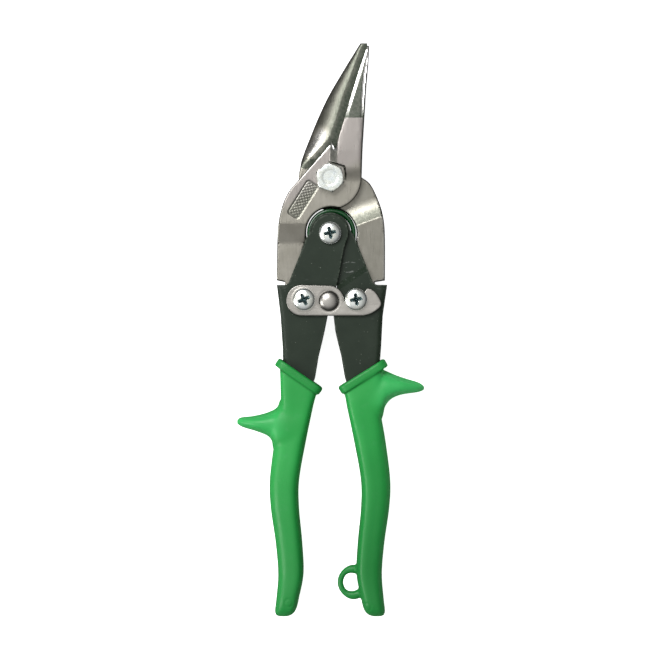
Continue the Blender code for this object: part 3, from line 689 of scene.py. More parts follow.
def front_top(x, y, gap):
    """Heights of the front blade's face."""
    face = BLADE_OFFSET + BLADE
    jaw = np.interp(y, JAW_TOP_Y, JAW_TOP)
    (x0, y0), (x1, y1), (x2, y2), _ = LEDGE
    above = ((y - y0) * (x1 - x0) - (x - x0) * (y1 - y0)) / math.hypot(x1 - x0, y1 - y0)
    foot = x0 + 0.06 * (y - y0)
    step = np.where(y > y1, ramp(x, foot, foot + 3.2) * ramp(above, 0, 0.35), 0)
    edge = x2 + (x1 - x2) * ramp(y, y2, y1)
    step = np.maximum(step, ramp(x, edge, edge + 0.35) * ease(y, -1.8, 4.9))
    height = face + step * (jaw - face) - TAIL_STEP * ramp(-y, *FRONT_STEP)
    to_cut = gap_to(x, y, FRONT_CUT)
    to_outer = gap_to(x, y, FRONT_OUTER)
    on_jaw = y > 12.0
    root = soft_fade(y, JAW_CREASE_Y - 2, JAW_CREASE_Y + 2)
    height -= CUT_DIP * np.maximum(1 - to_cut / CUT_DIP_WIDTH, 0) ** 2 * root * on_jaw
    outer_dip = OUTER_DIP * np.maximum(1 - to_outer / OUTER_DIP_WIDTH, 0) ** 2
    height -= outer_dip * root * ease(y, 0, 6)
    height -= STRIP_DEPTH * jaw_strips(to_cut, to_outer) * (1 - root) * on_jaw
    depth = panel_depth(x, y)
    along, across = panel_place(x, y)
    knurl = sum(np.abs(np.sin(line * KNURL_PITCH)) for line in (along + across, along - across))
    height -= PANEL_DEPTH * ease(depth, 0, 0.9) - KNURL_HEIGHT * knurl * ease(depth, 0.7, 1.0)
    soft = np.where(on_jaw & (to_cut < gap + 0.01), 0.15, EDGE_ROUND)
    return height - rounding(gap, soft)


def front_bottom(x, y, gap):
    """Heights of the front blade's hidden face."""
    return BLADE_OFFSET - TAIL_STEP * ramp(-y, *FRONT_STEP) + 0 * gap


def front_blade():
    """The blade on top, with its jaw on the right."""
    holes = [circle(MAIN, BORE), circle(LEFT_PIVOT, PIVOT_BORE)]
    across = [[(-30, -down), (5, -down)] for down in FRONT_STEP]
    crease = [[(3, JAW_CREASE_Y), (18, JAW_CREASE_Y)]]
    ledge = [LEDGE[:2], [(x - 0.1, y + 0.34) for x, y in LEDGE[:2]],
             [(-0.2, 7.4), (0.3, 15.0)], [(3.0, 7.0), (3.4, 14.5)]]
    dense = [(x, y) for x in np.arange(-4, 14, 0.45) for y in np.arange(-3, 16, 0.45)]
    dense += [(x, y) for x in np.arange(5, 18, 0.4) for y in np.arange(20, 57.5, 0.4)]
    piece = relief("front_blade_forging", front_outline(), front_top, front_bottom, holes,
                   BLADE_RINGS, creases=across + crease + ledge, dense=dense + panel_grid())

    def strips(x, y):
        """Where the polished strips run along the jaw's edges."""
        edge = jaw_strips(gap_to(x, y, FRONT_CUT), gap_to(x, y, FRONT_OUTER))
        return edge * ramp(y, JAW_CREASE_Y + 1, JAW_CREASE_Y + 12)

    # Brighter strips along the jaw's ground edges, partly polish and partly painted highlight, and
    # a painted highlight along the horn's rim.
    def polish_and_highlight(x, y, z):
        horn = gap_to(x, y, [(-12.7, 0.0), (0.9, 15.6), (2.1, 12.4)])
        shine = 0.2 + 0.5 * ease(y, 7, 14)
        return np.maximum(strips(x, y), shine * fade(horn, 0.5, 0.8)) * (z > 1.0)

    def bright(x, y, z):
        return ease(y - 0.6 * x, -4, 3)

    # Painted shade along the outer rim, the ledge beside the bolt, the slope by the horn, the left
    # side and the arch; the band beyond the jaw's crease and the badge panel are darker.
    def scale(x, y, z):
        band = ramp(y, JAW_CREASE_Y - 0.1, JAW_CREASE_Y + 0.1) * (1 - strips(x, y))
        rim = fade(gap_to(x, y, FRONT_OUTER), 0.5, 0.75)
        ledge = fade(gap_to(x, y, LEDGE), 0.1, 0.7) * (y > -1)
        panel = 0.6 * ease(panel_depth(x, y), -0.2, 0.5)
        slope = 0.75 * ramp(x, -0.4, 0.2) * fade(x, 2.9, 3.5) * (y > 4.8) * (y < 16)
        side = 0.45 * fade(gap_to(x, y, LEFT_SIDE), 0.3, 0.7)
        return np.maximum.reduce([0.95 * band, 0.6 * rim, 0.9 * ledge, panel, slope, side,
                                  0.9 * arch_shade(x, y)])

    paint(piece, "polish_and_highlight", polish_and_highlight)
    paint(piece, "bright", bright)
    paint(piece, "scale", scale)
    flat_shading(piece)
    dress(piece, "front_blade", "blade_steel", BLADE_STEEL, "front_blade")


# The back jaw's lines, from its root to its tip: outer edge, ridge and cutting edge
BACK_Y = (4.0, 7.2, 8.2, 11.2, 14.6, 18.1, 25.0, 35.3, 45.6, 55.6, 58.5)
BACK_OUTER_X = (-13.0, -12.5, -12.2, -11.2, -9.9, -8.5, -5.7, -0.9, 5.1, 11.3, 13.1)
BACK_RIDGE_X = (-12.6, -10.0, -9.1, -6.3, -2.9, 0.0, 2.4, 5.4, 9.3, 12.9, 14.3)
BACK_CUT_X = (5.0, 5.4, 5.6, 6.0, 6.6, 7.4, 9.3, 11.9, 14.3, 16.3, 16.1)
BACK_DEPTH_Y = (7.2, 8.2, 25.0, 35.3, 45.6, 55.6, 58.5)
BACK_DEPTH = (4.65, 6.4, 6.4, 6.0, 5.0, 3.6, 2.4)   # how deep its rear is at each of these
JAW_START = 4.0                     # where its hollow-ground face starts
THICK_START = BACK_DEPTH_Y[0]       # where it gets thicker towards the rear
TAIL_TOP = 2.0                      # below this the blade is disc and tail
SLANT = math.radians(-69.7)         # direction in which the back blade's tail rises
BACK_STEP = (14.1, 23.2)            # along that direction, where the rise starts and ends


def back_outline():
    """The back blade: arch, disc, jaw and right side."""
    outer = smooth(list(zip(BACK_OUTER_X, BACK_Y)), 3)
    cut = list(zip(BACK_CUT_X, BACK_Y))[::-1]
    right_side = smooth([(13.9, 0.3), (17.5, -2.6), (20.9, -9.5), (22.9, -16.4),
                         (23.7, -25.0), (23.7, SHOULDER_OUTER_Y)], 8)
    return (arc(*BACK_ARCH, -12, 106.7, 30) + arc(MAIN, DISC_RADIUS, -100.7, -195, 30)
            + outer + cut + [(6.6, 8.7)] + right_side + tail_end(1)[::-1]
            + [(11.8, -42), (11.8, -31)])


def slant_place(x, y):
    """A point's place along the direction in which the tail rises."""
    return x * math.cos(SLANT) + y * math.sin(SLANT)


def back_top(x, y, gap):
    """Heights of the back blade's front: a hollow-ground jaw and a tail that steps forward."""
    edge = np.interp(y, BACK_Y, BACK_OUTER_X)
    ridge = np.interp(y, BACK_Y, BACK_RIDGE_X)
    fall = np.minimum(3.4, (ridge - edge) * 0.42)
    share = np.clip((ridge - x) / np.maximum(ridge - edge, 0.1), 0, 1) * (y > JAW_START)
    jaw = -0.2 - fall * (0.25 * share + 0.75 * share**2)
    rise = TAIL_STEP * ramp(slant_place(x, y), *BACK_STEP) ** 1.8
    height = np.where(y > JAW_START, jaw, -BLADE_OFFSET) + np.where(y < TAIL_TOP, rise, 0)
    return height - rounding(gap, np.where(y > JAW_START, 0.2, EDGE_ROUND))


def back_bottom(x, y, gap):
    """Heights of the back blade's rear: thicker along the jaw."""
    deep = np.interp(y, BACK_DEPTH_Y, BACK_DEPTH)
    rise = TAIL_STEP * ramp(slant_place(x, y), *BACK_STEP)
    height = np.where(y > THICK_START, -deep, -BLADE_OFFSET - BLADE)
    height = height + np.where(y < TAIL_TOP, rise, 0)
    return height + rounding(gap, np.where(y > THICK_START, 1.2, EDGE_ROUND))


def back_blade():
    """The blade beneath, with its jaw on the left."""
    holes = [circle(MAIN, BORE), circle(RIGHT_PIVOT, PIVOT_BORE)]
    ridge = list(zip(BACK_RIDGE_X, BACK_Y))[1:-1]
    side = (-math.sin(SLANT), math.cos(SLANT))
    lines = [[(d * math.cos(SLANT) + t * side[0], d * math.sin(SLANT) + t * side[1])
              for t in (-2, 30)] for d in BACK_STEP]
    dense = [(x, y) for y in np.arange(4.6, 58, 0.6)
             for x in np.arange(np.interp(y, BACK_Y, BACK_OUTER_X), 16, 0.6)
             if x < np.interp(y, BACK_Y, BACK_RIDGE_X)]
    dense += [(x, y) for x in np.arange(6, 24, 0.7) for y in np.arange(-25, -6, 0.7)]
    step = [[(-14, y), (8, y)] for y in BACK_DEPTH_Y[:2]]
    piece = relief("back_blade_forging", back_outline(), back_top, back_bottom, holes,
                   round_rings(EDGE_ROUND) + [1.2], creases=[ridge, *lines, *step], dense=dense)

    def shine(x, y):
        """The distance from the painted highlight on the run-out at the root of the hollow face."""
        return gap_to(x, y, [(-3.8, 19.6), (-9.0, 11.5)])

    # a painted highlight on the hollow face's run-out, and a fainter painted highlight along the
    # tail's side edges
    def polish_and_highlight(x, y, z):
        side_gap = gap_to(x, y, back_outline(), closed=True)
        along = slant_place(x, y)
        rim = 0.25 * fade(side_gap, 0.4, 0.8) * (y < 0) * (along > BACK_STEP[1])
        return np.maximum(0.45 * soft_fade(shine(x, y), 0.2, 2.6), rim)

    # Darker over the tail and the ramp; the patch under the front disc's edge and the strip beside
    # the cutting edge are scale and painted shadow; the hollow face away from its highlight and the
    # arch get painted shade.
    def scale(x, y, z):
        along = slant_place(x, y)
        patch = soft_fade(along, 11.0, 16.5) * (y < TAIL_TOP) * 0.22
        slope = ease(along, 17.0, 20.0) * fade(along, 23.0, 23.3) * (y < TAIL_TOP) * 0.74
        tail = 0.2 * (y < TAIL_TOP)
        strip = (y > 4.5) * (x > np.interp(y, BACK_Y, BACK_RIDGE_X) + 0.15)
        ridge_gap = np.interp(y, BACK_Y, BACK_RIDGE_X) - x
        near_ridge = soft_fade(ridge_gap, 0.5, 3.0)
        face = (0.62 + 0.2 * near_ridge) * (y > 4.5) * ease(shine(x, y), 0.8, 4.5)
        arch = 0.9 * arch_shade(x, y)
        return np.maximum.reduce([patch, slope, tail, strip, face, arch])

    paint(piece, "polish_and_highlight", polish_and_highlight)
    paint(piece, "scale", scale)
    flat_shading(piece)
    dress(piece, "back_blade", "blade_steel", BLADE_STEEL, "back_blade")


front_blade()
back_blade()


# ---------------------------------------------------------------- fasteners

def shank(name, centre, radius, foot, top):
    """A plain round shank with a chamfered end."""
    def end(x, y, gap):
        return foot + ramp(0.5 - gap, 0, 0.5) * 0.4

    return relief(name, circle(centre, radius, 36), lambda x, y, gap: top + 0 * x, end,
                  rings=[0.5], spacing=1.0)


def main_bolt():
    """Hex bolt with a chamfered head, through both blades."""
    flats = 11.1                    # across the head
    turn = 40                       # direction of one corner, in degrees
    shank_radius = 3.9
    rim = 0.15                      # radius of the head's rounded edges
    head_top = node_top("main_pivot_bolt")
    seat = BLADE_OFFSET + BLADE + GAP
    corner = flats / 2 / math.cos(math.radians(30))
    hexagon = [(corner * math.cos(math.radians(turn + 60 * i)),
                corner * math.sin(math.radians(turn + 60 * i))) for i in range(6)]
    face = flats / 2 - 0.1

    def top(x, y, gap):
        reach = np.hypot(x, y)
        dish = 0.1 * soft_fade(reach, 3.1, 3.7)
        return head_top - 0.3 * np.maximum(reach - face, 0) - rounding(gap, rim) - dish

    dense = [p for r in (0.6, 1.3, 2.0, 2.7, 3.2, 3.45, 3.7, 4.4) for p in circle(MAIN, r, 40)]
    head = relief("main_bolt", hexagon, top, lambda x, y, gap: seat + 0 * x,
                  rings=round_rings(rim, 3), spacing=0.7,
                  creases=[circle(MAIN, face, 72) + circle(MAIN, face, 72)[:1]], dense=dense)
    foot = node_foot("main_pivot_bolt")
    boolean(head, shank("shank", MAIN, shank_radius, foot, seat + 1), "UNION")
    paint(head, "recess", lambda x, y, z: 0.1 + 0.08 * ease(np.hypot(x, y), 3.0, 3.3)
          * soft_fade(np.hypot(x, y), 3.6, 3.9) * (z > 8))
    flat_shading(head)
    dress(head, "pivot", "zinc", ZINC, "main_pivot_bolt")


def cross_depth(x, y, centre, turn):
    """How far inside a screw's cross recess a point lies; negative outside."""
    angle = math.radians(turn)
    u = np.abs((x - centre[0]) * math.cos(angle) + (y - centre[1]) * math.sin(angle))
    v = np.abs(-(x - centre[0]) * math.sin(angle) + (y - centre[1]) * math.cos(angle))
    long, short = np.maximum(u, v), np.minimum(u, v)
    arm_length, arm_half, taper, core_half = 2.65, 0.92, 0.09, 1.35
    arm = np.minimum(arm_length - long, arm_half - taper * long - short)
    core = core_half - (u + v) * 0.8
    return np.maximum(arm, core)


SCREW_HEAD_RADIUS = 4.7
SCREW_HEAD_HEIGHT = 2.6
SCREW_RADIUS = 2.5


def pan_screw(name, node, centre, body, turn, neck=None):
    """Pan-head screw with a cross recess."""
    head_top, foot = node_top(node), node_foot(node)
    seat = head_top - SCREW_HEAD_HEIGHT

    def top(x, y, gap):
        reach = np.minimum(np.hypot(x - centre[0], y - centre[1]) / SCREW_HEAD_RADIUS, 0.985)
        dome = 1.45 * (1 - np.sqrt(1 - reach**2))
        depth = cross_depth(x, y, centre, turn)
        recess = ease(depth, 0, 0.3) * 0.95 + 0.7 * ease(depth, 0.3, 1.2)
        return head_top - dome - recess

    fine = [(centre[0] + x, centre[1] + y) for x in np.arange(-2.8, 2.81, 0.17)
            for y in np.arange(-2.8, 2.81, 0.17)]
    head = relief(name, circle(centre, SCREW_HEAD_RADIUS, 64), top,
                  lambda x, y, gap: seat + 0 * x, rings=(0.04, 0.12, 0.3, 0.6, 1.0),
                  spacing=0.6, dense=fine)
    shank_top = seat + 0.5
    if neck:
        boolean(head, shank("waist", centre, neck, CHANNEL_HALF - 0.5, shank_top), "UNION")
        shank_top = CHANNEL_HALF
    boolean(head, shank("shank", centre, SCREW_RADIUS, foot, shank_top), "UNION")
    # painted shade in the cross recess
    paint(head, "recess", lambda x, y, z: ease(cross_depth(x, y, centre, turn), 0.05, 0.35)
          * (z > seat + 0.3))
    flat_shading(head)
    dress(head, body, "zinc", ZINC, node)


main_bolt()
pan_screw("hub_screw_head", "hub_screw", HUB, "left_handle", 12)
pan_screw("left_pivot_screw_head", "left_pivot_screw", LEFT_PIVOT, "left_handle", 25)
pan_screw("catch_screw_head", "catch_screw", RIGHT_PIVOT, "right_handle", 10, 1.6)


# ---------------------------------------------------------------- handles

LEFT_EDGE = [(-17.9, -45.5), (-19.3, -46.1), (-22.9, -46.1), (-21.3, -59.4),
             (-20.4, -73.0), (-20.2, -82.0), (-19.6, -90.0), (-19.3, -100.0)]
RIGHT_EDGE = [(-18.6, -45.5), (-20.3, -46.1), (-24.6, -46.1), (-22.7, -59.4),
              (-22.0, -73.0), (-21.3, -82.0), (-20.2, -90.0), (-19.3, -100.0)]
TANG_OUTER = [(-21.2, -112.0), (-23.2, -126.0), (-23.9, -137.0), (-22.0, -150.0)]
TANG_INNER = [(-14.0, -150.0), (-15.9, -137.0), (-15.2, -126.0), (-13.2, -112.0),
              (-11.2, -100.0), (-8.4, -92.0)]
INNER_EDGE = [(-6.4, -86.0), (-4.9, -77.0), (-3.2, -70.0), (-2.3, -66.0)]
WEB_TOP = -46.8
BEND = 2.3                          # outer radius of the fold along the web
RIM_ROUND = 0.3                     # radius of the sheet's other edges
HUB_LOBE = 7.9                      # radius of the left handle's ears round the hub
INNER_LOBE = 8.9                    # and of the right handle's, inside them
HUB_CLEARANCE = 3.25                # radius of the right handle's holes round the hub screw
TANG_SHALLOWER = 1.6                # what the tang loses in half depth inside the grip
TANG_TAPER = (92.0, 102.0)          # and where down the handle it loses it
JOGGLE = (-42.3, -39.8)             # where the right ears start to be set in, and are set in
JOGGLE_SLANT = math.radians(56.3)   # direction of that step, drawn as on the left


def tang_taper(y):
    """How much shallower the channel is where the grip hides its tang."""
    return TANG_SHALLOWER * ease(-y, *TANG_TAPER)


def handle(name, node, body, edge, ear, sign, hub_hole, joggle, bends=()):
    """A folded sheet-metal handle; it is drawn as on the left, and sign reflects it."""
    outline = edge + TANG_OUTER + TANG_INNER + INNER_EDGE + ear
    web = [point for point in edge + TANG_OUTER if point[1] < WEB_TOP]
    web = [(edge[2][0], WEB_TOP)] + web

    def top(x, y, gap):
        to_web = gap_to(sign * x, y, web)
        bend = np.where(y < WEB_TOP + 1.5, rounding(to_web, BEND), 0)
        depth = CHANNEL_HALF - joggle(sign * x, y) - tang_taper(y)
        return depth - np.maximum(bend, rounding(gap, RIM_ROUND))

    def roof(x, y, gap):
        return CHANNEL_HALF - SHEET - joggle(sign * x, y) - tang_taper(y)

    def placed(points):
        return points if sign > 0 else mirrored(points)

    pivot = LEFT_PIVOT if sign > 0 else RIGHT_PIVOT
    holes = [circle(HUB, hub_hole), circle(pivot, PIVOT_BORE)]
    dense = [(sign * x, y) for x in np.arange(-4, 6, 0.45) for y in np.arange(-50, -36, 0.45)]
    piece = relief(name, placed(outline), top, lambda x, y, gap: -top(x, y, gap), holes,
                   sorted(round_rings(RIM_ROUND, 3) + round_rings(BEND, 5)), dense=dense,
                   creases=[placed(line) for line in bends])
    far, foot = 40, -151            # past the handle's sides and past the end of its tang
    hollow = [(x + SHEET, y) for x, y in web[:-1]] + [(web[-1][0] + SHEET, foot)]
    hollow += [(far, foot), (far, 0), (-far, 0), (-far, WEB_TOP)]
    room = relief("hollow", placed(hollow), roof, lambda x, y, gap: -roof(x, y, gap),
                  dense=dense, creases=[placed(line) for line in bends])
    boolean(piece, room, "DIFFERENCE")
    rim = placed(outline)

    def edge_wear(x, y, z):
        gap = gap_to(x, y, rim, True)
        return ramp(gap, 0.01, 0.1) * fade(gap, 0.2, 0.7)

    paint(piece, "edge", edge_wear)
    # by the right handle's joggle, a painted highlight along its bend; fainter scuffs on both
    # handles near the web
    paint(piece, "scuff_and_sheen", lambda x, y, z: soft_fade(np.hypot(x - 9.0, y + 38.5), 3.0, 7.5)
          * (sign < 0) + 0.25 * soft_fade(np.abs(y + 52), 4, 12))
    flat_shading(piece)
    dress(piece, body, "handle_paint", HANDLE_PAINT, node)


def left_handle():
    """The handle on the front blade's tail; its ears are outermost at the hub."""
    ear = [(-0.9, -59.0), (3.75, -43.0), (4.7, -37.4), (6.1, -30.0)]
    ear += arc(HUB, HUB_LOBE, -10, 172, 30) + [(-10.1, -25.9)]
    handle("left_handle_pressing", "left_handle_channel", "left_handle", LEFT_EDGE, ear, 1,
           PIVOT_BORE, lambda x, y: 0 * x)


def right_handle():
    """The handle on the back blade's tail; its ears are set in, inside the left ones."""
    ear = [(-1.5, -59.0), (-2.95, -46.6), (-2.4, -45.0), (4.2, -40.2), (7.2, -30.0)]
    ear += arc(HUB, INNER_LOBE, -10, 172, 30) + [(-10.5, -25.2)]
    across = (math.cos(JOGGLE_SLANT), math.sin(JOGGLE_SLANT))

    def set_in(x, y):
        return (SHEET + GAP) * ramp(x * across[0] + y * across[1], *JOGGLE)

    bends = [[(d * across[0] - t * across[1], d * across[1] + t * across[0]) for t in (-60, 60)]
             for d in JOGGLE]
    handle("right_handle_pressing", "right_handle_channel", "right_handle", RIGHT_EDGE, ear, -1,
           HUB_CLEARANCE, set_in, bends)


left_handle()
right_handle()


# ---------------------------------------------------------------- latch

DOME = (LEFT_PIVOT[0] + 10.7, LEFT_PIVOT[1] - 0.6)
DOME_RADIUS, DOME_HEIGHT = 4.35, 1.9
LATCH_THICKNESS = 1.5
LATCH_TOP = CHANNEL_HALF + GAP + LATCH_THICKNESS
LATCH_ROUND = 0.35


def latch_plate():
    """Plate that turns on the left pivot screw, with a pressed dome and a hooked end."""
    def local(points):
        return [(LEFT_PIVOT[0] + x, LEFT_PIVOT[1] + y) for x, y in points]

    outline = arc(local([(-0.95, -0.35)])[0], 6.65, 90, 270, 30)
    outline += smooth(local([(25.5, -7.0), (29.0, -6.0), (32.4, -3.6), (33.2, -1.2),
                             (31.0, 2.8), (28.9, 4.5)]), 6)
    outline += smooth(local([(28.9, 4.5), (27.7, 4.75), (26.6, 4.1), (25.4, 2.0)]), 3)[1:]
    outline += arc(local([(22.4, 0.0)])[0], 1.9, 0, -180, 16)
    outline += smooth(local([(20.4, 0.4), (19.5, 0.9), (18.4, 0.5), (17.4, -0.5)]), 3)
    outline += arc(DOME, 6.6, 8, 85, 16)

    def top(x, y, gap):
        boss = 0.08 * soft_fade(np.hypot(x - LEFT_PIVOT[0], y - LEFT_PIVOT[1]), 4.9, 5.6)
        reach = np.hypot(x - DOME[0], y - DOME[1])
        dome = DOME_HEIGHT * np.sqrt(np.maximum(1 - (reach / DOME_RADIUS) ** 2, 0))
        moat = 0.08 * ease(reach, 4.2, 4.6) * soft_fade(reach, 4.6, 5.4)
        return LATCH_TOP + boss + dome - moat - rounding(gap, LATCH_ROUND)

    def bottom(x, y, gap):
        return LATCH_TOP - LATCH_THICKNESS + rounding(gap, 0.2)

    dense = [p for r in np.arange(0.5, 5.8, 0.26) for p in circle(DOME, r, 56)]
    dense += [p for r in (4.9, 5.1, 5.3, 5.5, 5.7) for p in circle(LEFT_PIVOT, r, 56)]
    piece = relief("latch_plate", outline, top, bottom, [circle(LEFT_PIVOT, PIVOT_BORE)],
                   round_rings(LATCH_ROUND, 4), spacing=0.6, dense=dense)

    # a faint painted highlight on the dome's centre
    def polish_and_highlight(x, y, z):
        reach = np.hypot(x - DOME[0], y - DOME[1])
        return 0.1 * soft_fade(reach, 0.8, 3.0)

    # painted shade: a dark ring round the dome and along the plate's rim
    def scale(x, y, z):
        reach = np.hypot(x - DOME[0], y - DOME[1])
        ring = ease(reach, 2.2, 3.9) * soft_fade(reach, 4.3, 5.0)
        rim = fade(gap_to(x, y, outline, True), 0.25, 0.6)
        return np.maximum(0.6 * ring, 0.5 * rim)

    paint(piece, "polish_and_highlight", polish_and_highlight)
    paint(piece, "scale", scale)
    flat_shading(piece)
    dress(piece, "latch", "plain_steel", PLAIN_STEEL, "latch")


latch_plate()


# ---------------------------------------------------------------- spring

def wire(name, points, radius, closed=False, swell=()):
    """Round wire along a list of points, as a mesh; swell scales its radius at each point."""
    curve = bpy.data.curves.new(name, "CURVE")
    curve.dimensions = "3D"
    curve.bevel_depth = radius * MM
    curve.bevel_resolution = 5
    curve.use_fill_caps = not closed
    spline = curve.splines.new("POLY")
    spline.points.add(len(points) - 1)
    for point, (x, y, z) in zip(spline.points, points):
        point.co = (x * MM, y * MM, (z + MID) * MM, 1)
    for point, factor in zip(spline.points, swell):
        point.radius = factor
    spline.use_cyclic_u = closed
    source = linked(name, curve)
    mesh = evaluated_mesh(source)
    bpy.data.objects.remove(source, do_unlink=True)
    work = bmesh.new()
    work.from_mesh(mesh)
    bmesh.ops.remove_doubles(work, verts=work.verts, dist=0.001 * MM)
    store_outward(work, mesh)
    mesh.shade_smooth()
    return linked(name, mesh)


def handle_spring():
    """Torsion spring round the hub, with a leg against the web inside each handle."""
    centre = (HUB[0] + 0.6, HUB[1] + 0.2)
    turns, half_height, coil_radius = 2.5, 2.3, 9.55
    left_leg = [(-8.75, -26.2, 2.3), (-9.2, -28.5, 2.3), (-9.9, -32.0, 3.7), (-13.6, -40.0, 3.95),
                (-19.2, -51.5, 3.95)]
    right_leg = [(21.0, -52.5, -3.95), (10.7, -44.0, -3.55), (9.9, -42.0, -2.3),
                 (10.1, -28.5, -2.3)]
    steps = int(turns * 48)
    coil = []
    for i in range(steps + 1):
        angle = math.tau * turns * i / steps
        coil.append((centre[0] + coil_radius * math.cos(angle),
                     centre[1] + coil_radius * math.sin(angle),
                     half_height * (2 * i / steps - 1)))
    piece = wire("torsion_spring", smooth(right_leg, 5) + coil + smooth(left_leg, 5), 1.0)
    dress(piece, "left_handle", "spring_enamel", SPRING_ENAMEL, "handle_spring")


handle_spring()


# ---------------------------------------------------------------- grips

GRIP_POWER = 3.4                    # squareness of the grip's section
MOUTH_POWER = 6.0                   # and at its mouth, over the folded handle
GUARD_POWER = 2.3                   # and of the thumb guard's
LEAN = 0.2                          # share of the depth lost at the grip's outer side
VOXEL = 0.4                         # size of the cells that the skin is remade from
POCKET_TOP = -76.0                  # above the grip's mouth
POCKET_ROUND = 1.6
LOOP_WIRE = 1.4                     # radius of the lanyard loop's rod
# Stations down the grips: outer x and y, inner x and y, half depth
LEFT_MOUTH = [(-21.7, -80.0, -5.3, -91.3, 9.0), (-21.4, -89.0, -6.4, -95.0, 9.3)]
RIGHT_MOUTH = [(-22.9, -80.2, -5.7, -91.0, 9.0), (-22.4, -89.0, -6.7, -95.0, 9.3)]
GRIP_BODY = [(-21.5, -98.0, -7.5, -99.5, 9.7), (-24.0, -113.5, -10.4, -113.5, 9.95),
             (-26.0, -130.0, -13.3, -130.0, 9.95), (-25.6, -142.0, -13.4, -142.0, 9.95),
             (-23.5, -157.0, -12.0, -157.0, 9.95), (-22.4, -170.5, -11.4, -170.5, 9.8),
             (-23.2, -181.5, -13.3, -180.8, 9.5), (-23.7, -185.6, -14.2, -184.8, 8.7),
             (-23.7, -187.4, -15.2, -187.0, 7.5), (-23.0, -188.6, -16.8, -188.4, 5.6),
             (-21.6, -189.0, -18.7, -189.0, 2.8)]
# Sections out along each thumb guard: top x and y, bottom x and y, half depth
LEFT_GUARD = [(-13.0, -93.0, -14.0, -121.0, 9.4), (-18.5, -93.5, -20.0, -121.0, 9.3),
              (-21.6, -95.8, -24.3, -117.2, 8.9), (-22.9, -98.9, -25.1, -113.4, 8.4),
              (-27.1, -101.1, -27.1, -111.1, 8.1), (-33.1, -102.6, -32.1, -109.1, 7.0),
              (-38.4, -103.2, -37.6, -107.5, 4.6), (-40.1, -104.4, -40.1, -106.0, 1.8)]
RIGHT_GUARD = [(-13.0, -85.0, -14.0, -108.0, 9.3), (-19.0, -83.4, -20.5, -107.0, 9.4),
               (-22.8, -82.8, -22.9, -102.4, 9.3), (-24.8, -83.4, -23.7, -98.7, 9.1),
               (-28.0, -84.8, -26.4, -95.3, 8.6), (-32.0, -86.2, -31.0, -93.4, 7.7),
               (-38.2, -88.1, -38.2, -92.3, 5.0), (-40.7, -89.8, -40.7, -91.3, 1.9)]

# Where each thumb guard is painted paler, as painted light: strength, start and end outwards,
# middle y and half height
LEFT_GUARD_LIGHT = (0.45, 17, 25, -106.0, 7.5)
RIGHT_GUARD_LIGHT = (0.75, 15, 27, -91.0, 9.0)
# painted shade over the whole right grip
RIGHT_GRIP_SHADE = 0.16                   # how much darker all of the right grip is

# Sections of the rolled collar: along the grip, out from its skin and half depth
COLLAR = [(-1.75, 0.9, 9.3), (-1.5, 1.5, 9.95), (1.4, 1.6, 9.95), (1.9, 0.9, 9.4)]


def squareness(y):
    """The power of the grip's section: squarer at the mouth, over the folded handle."""
    return GRIP_POWER + (MOUTH_POWER - GRIP_POWER) * float(ramp(y, -113.5, -89.0))


def lean(y):
    """How far the grip's section leans outwards: not at all at its mouth and end."""
    return LEAN * float(ease(-y, 88.0, 112.0) * (1 - 0.7 * ease(-y, 165.0, 188.0)))


def oval(station, power, slope=0, steps=64):
    """A squared oval between two points seen from the front, with a half depth.

    slope is the share of the depth that it loses at its outer side.
    """
    ax, ay, bx, by, depth = station
    ring = []
    for i in range(steps):
        angle = math.tau * (i + 0.5) / steps
        across, up = math.cos(angle), math.sin(angle)
        across = math.copysign(abs(across) ** (2 / power), across)
        up = math.copysign(abs(up) ** (2 / power), up)
        ring.append(((ax + bx) / 2 + (bx - ax) / 2 * across,
                     (ay + by) / 2 + (by - ay) / 2 * across,
                     depth * up * (1 - slope * (1 - across) / 2)))
    return ring


def loft(name, sections):
    """A closed solid through rings that all have the same number of points."""
    size = len(sections[0])
    faces = [tuple(range(size)), tuple(range((len(sections) - 1) * size, len(sections) * size))]
    for k in range(len(sections) - 1):
        for i in range(size):
            j = (i + 1) % size
            faces.append((k * size + i, k * size + j, (k + 1) * size + j, (k + 1) * size + i))
    return new_piece(name, [point for section in sections for point in section], faces)


def melt(name, parts, sign, root):
    """Run overlapping closed parts together into one soft-edged skin, and reflect it.

    The skin is softest within reach of the root of the guard: its place and two distances.
    """
    work = bmesh.new()
    for part in parts:
        work.from_mesh(part.data)
        bpy.data.objects.remove(part, do_unlink=True)
    for vertex in work.verts:
        vertex.co.x *= sign
    if sign < 0:
        bmesh.ops.reverse_faces(work, faces=work.faces)
    mesh = bpy.data.meshes.new(name)
    work.to_mesh(mesh)
    work.free()
    piece = linked(name, mesh)
    skin = piece.modifiers.new("skin", "REMESH")
    skin.mode = "VOXEL"
    skin.voxel_size = VOXEL * MM
    apply_modifiers(piece)
    (x, y), near, far = root
    group = piece.vertex_groups.new(name="root")
    for vertex in piece.data.vertices:
        reach = math.hypot(sign * vertex.co.x / MM - x, vertex.co.y / MM - y)
        group.add([vertex.index], float(soft_fade(reach, near, far)), "REPLACE")
    for label, rounds, part in (("soften", 3, ""), ("blend", 60, "root")):
        soften = piece.modifiers.new(label, "SMOOTH")
        soften.factor = 0.5
        soften.iterations = rounds
        soften.vertex_group = part
    apply_modifiers(piece)
    piece.vertex_groups.clear()
    piece.data.shade_smooth()
    return piece


def mark_ring(x, y, mark):
    """1 along the small moulded ring near the grip's end, falling to 0 on both sides."""
    reach = np.hypot(x - mark[0], y - mark[1])
    return ease(reach, 1.0, 1.5) * soft_fade(reach, 1.9, 2.4)


